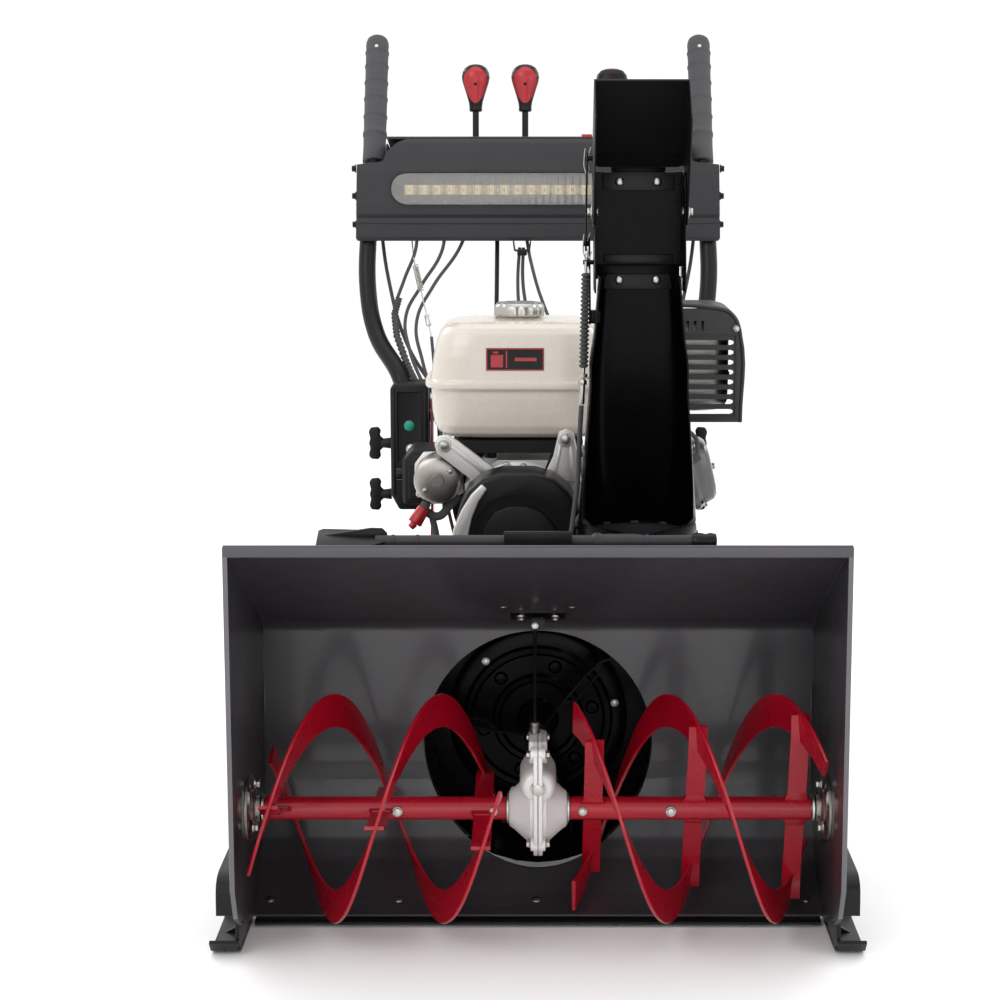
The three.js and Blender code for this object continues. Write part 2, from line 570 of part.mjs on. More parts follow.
// ---------------------------------------------------------------- handlebars
const h = HANDLE;
const tubeRoute = (s) => [
  [s * 205, 872, 452], [s * 208, 884, 560], [s * 216, 902, 640], [s * 262, 968, 716], [s * 277, 1006, 782],
  [s * 277, 1040, 880], [s * 270, 1080, 986], [s * 270, 1138, 1088], [s * 270, 1196, 1190],
];
const GRIP = { foot: [1080, 986], head: [1199, 1195], radius: 20 };
const alongGrip = (s, body) => {
  const pose = new THREE.Matrix4().makeTranslation(s * 270, 1112, 968).multiply(new THREE.Matrix4().makeRotationX(-0.577));
  return solid(geometryOf(body), pose);
};
function handleTube(s) {
  return join(
    bar(tubeRoute(s), h.tube, 10, 16),
    rod("x", 8, Math.min(s * 170.4, s * 206), Math.max(s * 170.4, s * 206), 874, 480, 12),
    rod("x", 8, Math.min(s * 170.4, s * 210), Math.max(s * 170.4, s * 210), 889, 590, 12),
    alongGrip(s, rod("x", 4, -12, 12, 0, 0, 12)),
    brick(s * 270 + 7, s * 270 + 12, 1068, 1118, 948, 974),
  );
}
function clutchLever(s) {
  return alongGrip(s, cut(join(brick(-6, 6, -8, 8, -8, 188), brick(-10, 10, -4, 4, 20, 188)), rod("x", 4 + GAP, -20, 20, 0, 0, 12)));
}
function bracketCover(s) {
  const [x0, x1] = s > 0 ? [172, 233] : [-233, -172];
  return cut(
    brick(x0, x1, 848, 925, 444, 647),
    brick(x0 + 3, x1 - 3, 851, 930, 430, 644),
    bar(tubeRoute(s), 19, 8, 16),
    rod("x", 10, Math.min(s * 160, s * 190), Math.max(s * 160, s * 190), 874, 480, 12),
    rod("x", 10, Math.min(s * 160, s * 190), Math.max(s * 160, s * 190), 889, 590, 12),
  );
}
function wingKnob(s) {
  const stem = [s * (233 + GAP), s * 252];
  const wing = [s * 248, s * 270];
  return join(
    rod("x", 6, Math.min(...stem), Math.max(...stem), 884, 548, 12),
    brick(Math.min(...wing), Math.max(...wing), 879, 889, 522, 574),
  );
}
for (const [word, s] of [["left", -1], ["right", 1]]) {
  add(`handle_tube_${word}`, handleTube(s), FINISH.blackPaint);
  const foot = [s * 270, ...GRIP.foot];
  const head = [s * 270, ...GRIP.head];
  const topEnd = bar([[s * 270, 1190, 1179.5], [s * 270, 1197.5, 1192.6]], h.tube + 1.5, 12, 1);
  add(`grip_${word}`, cut(bar([foot, head], GRIP.radius, 16, 1), bar(tubeRoute(s), h.tube + GAP, 10, 16), topEnd), FINISH.rubber);
  add(`clutch_lever_${word}`, clutchLever(s), FINISH.blackPlastic);
  add(`bracket_cover_${word}`, bracketCover(s), FINISH.blackPlastic);
  add(`wing_knob_${word}`, wingKnob(s), FINISH.blackPlastic);
}
// ---------------------------------------------------------------- control panel
const p = PANEL;
const SLOTS = { speed: -102, deflector: -21, chute: 121 };
const lensShape = (inset) => {
  const points = [];
  for (const side of [1, -1])
    for (let i = 0; i <= 8; i++) {
      const turn = (side > 0 ? -Math.PI / 2 : Math.PI / 2) + (Math.PI * i) / 8;
      points.push([side * 212 + (26 - inset) * Math.cos(turn), 946 + (26 - inset) * Math.sin(turn)]);
    }
  return points;
};
const shellOutside = [[p.front, p.bottom], [p.front, p.top - 14], [p.front + 14, p.top], [1118, p.top - 22], [1122, p.bottom + 20]];
const shellInside = [[p.front + p.wall, p.bottom - 5], [p.front + p.wall, p.top - 16], [p.front + 16, p.top - 4], [1114, p.top - 26], [1130, p.bottom + 10]];
const rightEdge = [[p.foot, p.bottom], [p.foot - 3, 985], [250, 988], [243, 1006], [224, 1023], [196, p.top]];
const face = prism("y", [...rightEdge, ...rightEdge.map(([x, z]) => [-x, z]).reverse()], p.front, p.front + p.wall);
const ears = [-1, 1].flatMap((s) => [
  brick(Math.min(s * 292.2, s * 296), Math.max(s * 292.2, s * 296), p.front, 1058, 868, 950),
  brick(Math.min(s * 289.2, s * 293), Math.max(s * 289.2, s * 293), p.front, 1058, 950, 985),
  brick(Math.min(s * 244, s * 292), Math.max(s * 244, s * 292), p.front, 1058, 981, 985),
  brick(Math.min(s * 289.2, s * 296), Math.max(s * 289.2, s * 296), p.front, 1058, 946, 950),
]);
const panelBody = cut(
  join(
    cut(prism("x", shellOutside, -p.half + 4, p.half - 4), prism("x", shellInside, -p.half + 8, p.half - 8)),
    face,
    ...ears,
    ...[-1, 1].map((s) => rod("x", 7, Math.min(s * 240, s * 276), Math.max(s * 240, s * 276), 1046, 896, 12)),
    ...Object.values(SLOTS).map((x) => brick(x - 14, x - 11, 1050, 1074, 915, 1020)),
    ...Object.values(SLOTS).map((x) => rod("x", 4, x - 13, x + 9, LEVER_PIVOT.y, LEVER_PIVOT.z, 12)),
  ),
  prism("y", lensShape(0), p.front - 5, p.front + 10),
  prism("x", [[p.front - 5, p.top - 15], [p.front + 15, p.top + 5], [p.front - 5, p.top + 5]], -300, 300),
  brick(69, 89, 1018, 1040, 1000, 1040),
  ...Object.values(SLOTS).map((x) => brick(x - 9, x + 9, 1040, 1106, 990, 1040)),
  bar(tubeRoute(-1), h.tube + GAP, 10, 16),
  bar(tubeRoute(1), h.tube + GAP, 10, 16),
);
add("control_panel", panelBody, FINISH.greyPlastic);
add("light_lens", join(
  prism("y", lensShape(GAP), p.front + 1, p.front + 4),
  prism("y", lensShape(8), p.front - 4, p.front + 2),
), FINISH.lens);
add("light_switch", join(
  brick(70, 88, 1019, 1039, 1016, 1028),
  brick(70, 88, 1019, 1028, 1024, 1034),
), FINISH.redPaint);

// A lever: an eye on the pivot, a stalk through the slot and a knob.
function lever(x, lean, knob) {
  const pose = new THREE.Matrix4().makeTranslation(x, LEVER_PIVOT.y, LEVER_PIVOT.z).multiply(new THREE.Matrix4().makeRotationX(-lean));
  const upright = cut(
    join(rod("x", 9, -6, 6, 0, 0, 16), rod("z", 5.5, 4, 150, 0, 0, 8), lathe("z", knob, 0, 0, 12, 140)),
    rod("x", 4 + GAP, -10, 10, 0, 0, 12),
  );
  return solid(geometryOf(upright), pose);
}
const pear = [[0, 0], [11, 0], [13, 12], [20, 40], [23, 55], [19, 70], [9, 77], [0, 77]];
const oval = [[0, 10], [12, 10], [16, 30], [26, 52], [22, 64], [10, 70], [0, 70]];
add("speed_lever", lever(SLOTS.speed, 0.1, pear), FINISH.blackPlastic);
add("deflector_lever", lever(SLOTS.deflector, 0.1, pear), FINISH.blackPlastic);
add("chute_lever", lever(SLOTS.chute, 0.1, oval), FINISH.blackPlastic);

// ---------------------------------------------------------------- clean-out tool
const clip = cut(
  join(brick(-42, 42, 44, 76, 495, 532), brick(-42, 42, 44, 50, 495, 556), brick(-42, 42, 70, 76, 495, 552)),
  prism("x", [[-20, LIP_Z + 14.2], [400, LIP_Z - 189.3], [400, 300], [-20, 300]], -60, 60),
);
add("tool_clip", clip, FINISH.blackPaint);
add("clean_out_tool", join(
  rod("x", 8, -205, 212, 60, 541, 12),
  prism("x", [[34, 537.5], [35.4, 533.8], [88, 550], [86.6, 554]], -272, -188),
  rod("x", 11, 190, 221, 60, 541, 16),
), FINISH.blackPlastic);

// The origin is on the ground, under the middle of the machine.
const extent = new THREE.Box3().setFromObject(machine);
machine.position.set(0, -(extent.min.y + extent.max.y) / 2, 0);

export default machine;
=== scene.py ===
"""Two stage snowblower, built over its packed frame.

Lengths inside the builders are in millimetres, measured from the front lip of the auger
housing (y = 0), the middle of the machine (x = 0) and the ground (z = 0).
"""

import math

import bpy
from bpy.props import FloatProperty, FloatVectorProperty, PointerProperty
from mathutils import Matrix, Vector


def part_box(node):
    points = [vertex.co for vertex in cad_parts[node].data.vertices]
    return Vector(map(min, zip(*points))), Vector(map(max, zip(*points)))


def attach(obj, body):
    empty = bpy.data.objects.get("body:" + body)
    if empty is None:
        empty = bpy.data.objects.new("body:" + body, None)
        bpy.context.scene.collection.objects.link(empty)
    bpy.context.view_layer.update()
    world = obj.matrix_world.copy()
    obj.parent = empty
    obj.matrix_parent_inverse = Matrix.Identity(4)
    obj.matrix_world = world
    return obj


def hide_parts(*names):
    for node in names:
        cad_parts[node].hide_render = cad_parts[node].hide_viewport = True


bl_info = {
    "name": "Two Stage Snowblower",
    "version": (1, 0, 0),
    "blender": (4, 5, 0),
    "location": "View3D > Sidebar > Snowblower",
    "description": "Models a walk-behind two stage snowblower piece by piece",
    "category": "Add Mesh",
}

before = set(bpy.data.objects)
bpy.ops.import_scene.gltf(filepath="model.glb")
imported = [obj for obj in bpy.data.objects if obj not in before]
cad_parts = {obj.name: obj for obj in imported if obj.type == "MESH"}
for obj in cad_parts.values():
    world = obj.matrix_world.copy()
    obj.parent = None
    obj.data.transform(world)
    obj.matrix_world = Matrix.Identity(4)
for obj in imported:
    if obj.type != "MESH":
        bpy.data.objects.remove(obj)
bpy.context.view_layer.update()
LIP_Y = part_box("auger_housing")[0][1] + 0.003  # the housing's front lip, in the frame

# Middle lines shared by several pieces, in millimetres.
AUGER_Y, AUGER_Z, AUGER_R = 160, 170, 149
DRUM_Z, DRUM_R = 208, 156
CHUTE_X, CHUTE_Y = 138, 421
CRANK_X, CRANK_Z = -27, 472
HINGE_LOW, HINGE_HIGH = (471.5, 848), (464.5, 987)
HINGE_BOLTS_X = (112, 164)
LINK_LOW, LINK_HIGH = (484, 884), (428, 1002)  # the link bar's pins, as y and z
HOOD_PIVOT, CABLE_PIN = (402, 931), (452, 860)
SPEED_X, DEFLECTOR_X, TURN_X = LEVERS_X = (-102, -21, 121)
LEVER_PIVOT = (1062, 930)

AXES = {"x": (1, 0, 0), "-x": (-1, 0, 0), "y": (0, 1, 0), "-y": (0, -1, 0), "z": (0, 0, 1), "-z": (0, 0, -1)}


# ------------------------------------------------------------------ modelling helpers
def measure(name):
    """A size set in the sidebar, in millimetres."""
    return round(getattr(bpy.context.scene.snowblower_sizes, name) * 1000, 3)


def mm(x, y, z):
    """A point given in millimetres from the lip, as the frame's metres."""
    return Vector((x / 1000, LIP_Y + y / 1000, z / 1000))


def along(axis, u, v, w):
    """A point from two coordinates across an axis and one along it."""
    return {"x": mm(w, u, v), "y": mm(u, w, v), "z": mm(u, v, w)}[axis]


def deselect():
    """Drops the whole selection."""
    bpy.ops.object.select_all(action="DESELECT")


def only(obj):
    """Selects one object and makes it active."""
    deselect()
    obj.select_set(True)
    bpy.context.view_layer.objects.active = obj
    return obj


def modify(obj, kind, **settings):
    """Adds a modifier with its settings and applies it."""
    only(obj)
    made = obj.modifiers.new(kind.lower(), kind)
    for key, value in settings.items():
        setattr(made, key, value)
    bpy.ops.object.modifier_apply(modifier=made.name)
    return obj


def bevel(obj, width, segments=2, angle=30):
    return modify(obj, "BEVEL", width=width / 1000, segments=segments, limit_method="ANGLE",
                  angle_limit=math.radians(angle), use_clamp_overlap=True)


def edit(obj, *steps):
    """Runs edit mode steps with everything selected."""
    only(obj)
    bpy.ops.object.mode_set(mode="EDIT")
    bpy.ops.mesh.select_all(action="SELECT")
    for step in steps:
        step()
    bpy.ops.object.mode_set(mode="OBJECT")
    return obj


def outward():
    """Closes the seams and turns the faces out."""
    bpy.ops.mesh.remove_doubles(threshold=1e-6)
    bpy.ops.mesh.normals_make_consistent(inside=False)


def settle(obj):
    """Puts an object's place, turn and scale into its mesh."""
    only(obj)
    bpy.ops.object.transform_apply(location=True, rotation=True, scale=True)
    return obj


def block(x0, x1, y0, y1, z0, z1, edge=1.0, segments=2):
    """A box with rounded edges."""
    deselect()
    low, high = mm(min(x0, x1), y0, z0), mm(max(x0, x1), y1, z1)
    bpy.ops.mesh.primitive_cube_add(size=1, location=(low + high) / 2)
    obj = bpy.context.object
    obj.scale = high - low
    settle(obj)
    return bevel(obj, edge, segments) if edge else obj


def drum(start, end, radius, end_radius=None, sides=32, edge=0.0, segments=2):
    """A cylinder or frustum between two points given in millimetres."""
    a, b = mm(*start), mm(*end)
    deselect()
    turn = (b - a).to_track_quat("Z", "Y").to_euler()
    if end_radius is None:
        bpy.ops.mesh.primitive_cylinder_add(vertices=sides, radius=radius / 1000, depth=(b - a).length,
                                            location=(a + b) / 2, rotation=turn)
    else:
        bpy.ops.mesh.primitive_cone_add(vertices=sides, radius1=radius / 1000, radius2=end_radius / 1000,
                                        depth=(b - a).length, location=(a + b) / 2, rotation=turn)
    obj = settle(bpy.context.object)
    return bevel(obj, edge, segments) if edge else obj


def ball(centre, radius, squash=(1, 1, 1)):
    """A sphere, flattened by squash."""
    deselect()
    bpy.ops.mesh.primitive_uv_sphere_add(
        segments=20, ring_count=12, radius=radius / 1000, location=mm(*centre)
    )
    bpy.context.object.scale = squash
    return settle(bpy.context.object)


def outline(points, closed=True):
    """A wire through points, made from a circle whose corners are moved there."""
    if len(points) == 2:
        points = [points[0], (points[0] + points[1]) / 2, points[1]]
    deselect()
    bpy.ops.mesh.primitive_circle_add(vertices=len(points), fill_type="NOTHING")
    obj = bpy.context.object
    for corner, point in zip(obj.data.vertices, points):
        corner.co = point
    if not closed:
        ends = {0, len(points) - 1}
        for edge in obj.data.edges:
            edge.select = set(edge.vertices) == ends
        for corner in obj.data.vertices:
            corner.select = False
        only(obj)
        bpy.ops.object.mode_set(mode="EDIT")
        bpy.ops.mesh.select_mode(type="EDGE")
        bpy.ops.mesh.select_all(action="DESELECT")
        bpy.ops.object.mode_set(mode="OBJECT")
        for edge in obj.data.edges:
            edge.select = set(edge.vertices) == ends
        bpy.ops.object.mode_set(mode="EDIT")
        bpy.ops.mesh.delete(type="EDGE")
        bpy.ops.mesh.select_mode(type="VERT")
        bpy.ops.object.mode_set(mode="OBJECT")
    return obj


def plate(axis, points, start, end, edge=0.6, segments=2):
    """A flat outline pushed along an axis."""
    obj = outline([along(axis, u, v, start) for u, v in points])
    push = along(axis, 0, 0, end) - along(axis, 0, 0, start)
    edit(obj, bpy.ops.mesh.edge_face_add,
         lambda: bpy.ops.mesh.extrude_region_move(TRANSFORM_OT_translate={"value": push}),
         lambda: bpy.ops.mesh.select_all(action="SELECT"), outward)
    return bevel(obj, edge, segments) if edge else obj


def folded(axis, points, start, end, thick, bend=0.0, offset=0.0, segments=4):
    """An open line of points pushed along an axis into a bent sheet."""
    obj = outline([along(axis, u, v, start) for u, v in points], closed=False)
    push = along(axis, 0, 0, end) - along(axis, 0, 0, start)
    edit(obj, lambda: bpy.ops.mesh.extrude_region_move(TRANSFORM_OT_translate={"value": push}))
    if bend:
        bevel(obj, bend, segments, 8)
    modify(obj, "SOLIDIFY", thickness=thick / 1000, offset=offset, use_even_offset=True)
    return edit(obj, outward)


def turned(axis, profile, u, v, at=0.0, steps=48, closed=False):
    """A profile of (radius, distance) points spun about an axis through (u, v)."""
    side = {"x": (0, 0, 1), "y": (1, 0, 0), "z": (1, 0, 0)}[axis]
    points = [along(axis, u, v, at + w) + Vector(side) * (r / 1000) for r, w in profile]
    obj = outline(points, closed)
    centre = along(axis, u, v, at)
    return edit(
        obj, lambda: bpy.ops.mesh.spin(steps=steps, angle=2 * math.pi, center=centre, axis=AXES[axis]),
        lambda: bpy.ops.mesh.select_all(action="SELECT"), outward
    )


def pipe(points, radius, smooth=8, roundness=4, kind="AUTO"):
    """A round bar or cable along a smooth route of points in millimetres."""
    deselect()
    bpy.ops.curve.primitive_bezier_curve_add()
    obj = bpy.context.object
    obj.matrix_world = Matrix.Identity(4)
    curve = obj.data
    line = curve.splines[0]
    line.bezier_points.add(len(points) - 2)
    for knot, point in zip(line.bezier_points, points):
        knot.co = mm(*point)
        knot.handle_left_type = knot.handle_right_type = kind
    curve.dimensions = "3D"
    curve.bevel_depth = radius / 1000
    curve.bevel_resolution = roundness
    curve.resolution_u = smooth
    curve.use_fill_caps = True
    bpy.ops.object.convert(target="MESH")
    return edit(bpy.context.object, outward)


def coil(start, end, radius, wire, turns, per_turn=12):
    """A coil spring between two points."""
    a, b = Vector(start), Vector(end)
    aim = (b - a).to_track_quat("Z", "Y")
    count = int(turns * per_turn)
    points = []
    for i in range(count + 1):
        turn = 2 * math.pi * i / per_turn
        round_ = Vector((radius * math.cos(turn), radius * math.sin(turn), 0))
        points.append(a + (b - a) * i / count + aim @ round_)
    return pipe(points, wire, smooth=1, roundness=2, kind="VECTOR")


def carve(obj, *tools):
    """Cuts tools out of a piece and throws them away."""
    for tool in tools:
        modify(obj, "BOOLEAN", operation="DIFFERENCE", object=tool, solver="EXACT")
        bpy.data.objects.remove(tool, do_unlink=True)
    return obj


def weld(*parts):
    """Joins parts that are one moulding or one assembly under one name."""
    deselect()
    for part in parts:
        part.select_set(True)
    bpy.context.view_layer.objects.active = parts[0]
    if len(parts) > 1:
        bpy.ops.object.join()
    return bpy.context.object


def twin(obj):
    """A copy with a mesh of its own."""
    made = obj.copy()
    made.data = obj.data.copy()
    bpy.context.collection.objects.link(made)
    return made


def reshape(obj, matrix):
    """Turns or leans a piece about a place, by a matrix in the frame."""
    obj.data.transform(matrix)
    if matrix.determinant() < 0:
        edit(obj, outward)
    return obj


def about(point, degrees, axis):
    """A turn about a point given in millimetres."""
    place = mm(*point)
    return Matrix.Translation(place) @ Matrix.Rotation(
        math.radians(degrees), 4, axis
    ) @ Matrix.Translation(-place)


def done(obj, name, material, body="frame", stands_for=(), smooth=32):
    """Names a finished piece, gives it its finish and hangs it on a body."""
    only(obj)
    obj.name = obj.data.name = name
    obj.data.materials.clear()
    obj.data.materials.append(finish_of(material))
    bpy.ops.object.shade_smooth_by_angle(angle=math.radians(smooth))
    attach(obj, body)
    if stands_for:
        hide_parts(*([stands_for] if isinstance(stands_for, str) else stands_for))
    return obj


def hex_bolt(place, axis, size, washer=0.0):
    """A flanged hexagon head, standing out along a direction."""
    out = Vector(AXES[axis])
    base = Vector(place)
    parts = []
    if washer:
        parts.append(drum(base, base + out * 1.4, washer, sides=28, edge=0.4))
        base = base + out * 1.4
    parts.append(drum(base, base + out * size * 0.22, size * 1.12, size * 1.0, sides=28))
    base = base + out * size * 0.2
    head = drum(base, base + out * size * 0.8, size * 0.92, sides=6, edge=size * 0.1, segments=2)
    parts.append(head)
    return weld(*parts)


def dome_bolt(place, axis, radius, height=None):
    """A carriage bolt's domed head with its flat rim."""
    out = Vector(AXES[axis])
    rise = height or radius * 0.45
    profile = [
        (0, rise), (radius * 0.4, rise * 0.93), (radius * 0.72, rise * 0.68), (radius * 0.92, rise * 0.32),
        (radius, 0.1), (radius, -0.4), (0, -0.4)
    ]
    obj = turned("z", profile, 0, 0, 0, 24)
    turn = Vector((0, 0, 1)).rotation_difference(out).to_matrix().to_4x4()
    return reshape(obj, Matrix.Translation(mm(*place)) @ turn @ Matrix.Translation(-mm(0, 0, 0)))


# ------------------------------------------------------------------ finishes
def linear(code):
    """An sRGB hex colour as linear red, green, blue and alpha; a chosen colour is linear already."""
    if not isinstance(code, str):
        return tuple(code)
    parts = [int(code[i:i + 2], 16) / 255 for i in (0, 2, 4)]
    return tuple(c / 12.92 if c <= 0.04045 else ((c + 0.055) / 1.055) ** 2.4 for c in parts) + (1.0,)


def add(tree, kind, values=None, **settings):
    """Adds a node with its settings, values and links."""
    made = tree.nodes.new(kind)
    for key, value in settings.items():
        setattr(made, key, value)
    for key, value in (values or {}).items():
        if isinstance(value, bpy.types.NodeSocket):
            tree.links.new(value, made.inputs[key])
        else:
            made.inputs[key].default_value = value
    return made


WAVE = 6.283  # a wave texture's bands repeat once per full turn at scale 1


def per_mm(size):
    """The texture scale whose pattern repeats every so many millimetres."""
    return 1000 / size


def start_finish(name):
    material = bpy.data.materials.new(name)
    material.use_nodes = True
    tree = material.node_tree
    shader = tree.nodes["Principled BSDF"]
    where = add(tree, "ShaderNodeTexCoord").outputs["Object"]
    return material, tree, shader, where


def painted(name, light, dark, roughness, coat, peel_mm=2.5, peel=0.05, flake=0.0, metallic=0.0, spec=0.5):
    """Sprayed and baked coating: slow drifts of tone, orange peel, and flakes where it is metallic."""
    material, tree, shader, where = start_finish(name)
    drift = add(tree, "ShaderNodeTexNoise", {"Vector": where, "Scale": per_mm(140), "Detail": 4.0})
    tone = add(tree, "ShaderNodeMix", {
        "Factor": drift.outputs["Fac"], "A": linear(dark), "B": linear(light)
    }, data_type="RGBA")
    colour = tone.outputs["Result"]
    rough_noise = add(tree, "ShaderNodeTexNoise", {"Vector": where, "Scale": per_mm(30), "Detail": 6.0})
    rough = add(tree, "ShaderNodeMapRange", {
        "Value": rough_noise.outputs["Fac"], "To Min": roughness - 0.06, "To Max": roughness + 0.08
    })
    orange = add(tree, "ShaderNodeTexNoise", {"Vector": where, "Scale": per_mm(peel_mm), "Detail": 2.0})
    height = orange.outputs["Fac"]
    if flake:
        cells = add(tree, "ShaderNodeTexVoronoi", {"Vector": where, "Scale": per_mm(1.6)})
        sparkle = add(
            tree, "ShaderNodeMix", {"Factor": flake, "A": colour, "B": cells.outputs["Color"]},
            data_type="RGBA", blend_type="SOFT_LIGHT"
        )
        colour = sparkle.outputs["Result"]
    bump = add(tree, "ShaderNodeBump", {"Height": height, "Strength": peel, "Distance": 0.0006})
    tree.links.new(colour, shader.inputs["Base Color"])
    tree.links.new(rough.outputs["Result"], shader.inputs["Roughness"])
    tree.links.new(bump.outputs["Normal"], shader.inputs["Normal"])
    shader.inputs["Metallic"].default_value = metallic
    if not metallic:
        shader.inputs["Specular IOR Level"].default_value = spec
    shader.inputs["Coat Weight"].default_value = coat
    shader.inputs["Coat Roughness"].default_value = 0.12
    return material


def moulded(name, light, dark, roughness, grain_mm=0.9, grain=0.25, spec=0.5):
    """Injection moulded plastic or rubber: spark-eroded grain from the tool and a little mottling."""
    material, tree, shader, where = start_finish(name)
    mottle = add(tree, "ShaderNodeTexNoise", {"Vector": where, "Scale": per_mm(60), "Detail": 5.0})
    tone = add(tree, "ShaderNodeMix", {
        "Factor": mottle.outputs["Fac"], "A": linear(dark), "B": linear(light)
    }, data_type="RGBA")
    fine = add(tree, "ShaderNodeTexNoise", {
        "Vector": where, "Scale": per_mm(grain_mm), "Detail": 3.0, "Roughness": 0.6
    })
    rub = add(tree, "ShaderNodeTexNoise", {"Vector": where, "Scale": per_mm(25), "Detail": 6.0})
    rough = add(tree, "ShaderNodeMapRange", {
        "Value": rub.outputs["Fac"], "To Min": roughness - 0.08, "To Max": roughness + 0.1
    })
    bump = add(tree, "ShaderNodeBump", {"Height": fine.outputs["Fac"], "Strength": grain, "Distance": 0.0004})
    tree.links.new(tone.outputs["Result"], shader.inputs["Base Color"])
    tree.links.new(rough.outputs["Result"], shader.inputs["Roughness"])
    tree.links.new(bump.outputs["Normal"], shader.inputs["Normal"])
    shader.inputs["Specular IOR Level"].default_value = spec
    return material


def bare_metal(
    name, light, dark, roughness, grain_mm=1.2, grain=0.2, stretch=(1, 1, 1), tarnish=0.25, tint="6b6259"
):
    """Bare or plated metal: cast grain or a brushed lay, with duller patches where it has aged."""
    material, tree, shader, where = start_finish(name)
    laid = add(tree, "ShaderNodeMapping", {"Vector": where, "Scale": stretch})
    patch = add(tree, "ShaderNodeTexNoise", {
        "Vector": where, "Scale": per_mm(35), "Detail": 7.0, "Roughness": 0.62
    })
    tone = add(tree, "ShaderNodeMix", {
        "Factor": patch.outputs["Fac"], "A": linear(dark), "B": linear(light)
    }, data_type="RGBA")
    aged = add(tree, "ShaderNodeMapRange", {
        "Value": patch.outputs["Fac"], "From Min": 0.5, "From Max": 0.75, "To Max": tarnish
    })
    colour = add(tree, "ShaderNodeMix", {
        "Factor": aged.outputs["Result"], "A": tone.outputs["Result"], "B": linear(tint)
    }, data_type="RGBA")
    fine = add(tree, "ShaderNodeTexNoise", {
        "Vector": laid.outputs["Vector"], "Scale": per_mm(grain_mm), "Detail": 4.0
    })
    rough = add(tree, "ShaderNodeMapRange", {
        "Value": fine.outputs["Fac"], "To Min": roughness - 0.1, "To Max": roughness + 0.12
    })
    bump = add(tree, "ShaderNodeBump", {"Height": fine.outputs["Fac"], "Strength": grain, "Distance": 0.0004})
    tree.links.new(colour.outputs["Result"], shader.inputs["Base Color"])
    tree.links.new(rough.outputs["Result"], shader.inputs["Roughness"])
    tree.links.new(bump.outputs["Normal"], shader.inputs["Normal"])
    shader.inputs["Metallic"].default_value = 1.0
    return material


def clear_lens(name):
    """Clear polycarbonate with vertical prism ribs 6 mm apart inside it."""
    material, tree, shader, where = start_finish(name)
    ribs = add(tree, "ShaderNodeTexWave", {"Vector": where, "Scale": per_mm(6) / WAVE}, bands_direction="X")
    bump = add(tree, "ShaderNodeBump", {"Height": ribs.outputs["Fac"], "Strength": 0.35, "Distance": 0.001})
    haze = add(tree, "ShaderNodeTexNoise", {"Vector": where, "Scale": per_mm(20), "Detail": 4.0})
    rough = add(tree, "ShaderNodeMapRange", {"Value": haze.outputs["Fac"], "To Min": 0.05, "To Max": 0.16})
    tree.links.new(bump.outputs["Normal"], shader.inputs["Normal"])
    tree.links.new(rough.outputs["Result"], shader.inputs["Roughness"])
    shader.inputs["Base Color"].default_value = linear("f4f2ee")
    shader.inputs["Transmission Weight"].default_value = 0.88
    shader.inputs["IOR"].default_value = 1.45
    return material


def diode_strip_with_painted_glow(name):
    """Row of small warm diodes behind the lens."""
    material, tree, shader, where = start_finish(name)
    row = add(tree, "ShaderNodeTexWave", {
        "Vector": where, "Scale": per_mm(measure("diode_gap")) / WAVE
    }, bands_direction="X")
    tone = add(tree, "ShaderNodeMix", {
        "Factor": row.outputs["Fac"], "A": linear("a08a62"), "B": linear("f3dda6")
    }, data_type="RGBA")
    tree.links.new(tone.outputs["Result"], shader.inputs["Base Color"])
    # The emission is a painted glow: the diodes shine whatever the lamps do.
    tree.links.new(tone.outputs["Result"], shader.inputs["Emission Color"])
    shader.inputs["Emission Strength"].default_value = 0.25
    shader.inputs["Roughness"].default_value = 0.35
    return material


def chosen(part):
    """The colour set in the sidebar for a part."""
    return getattr(bpy.context.scene.snowblower_colours, part)


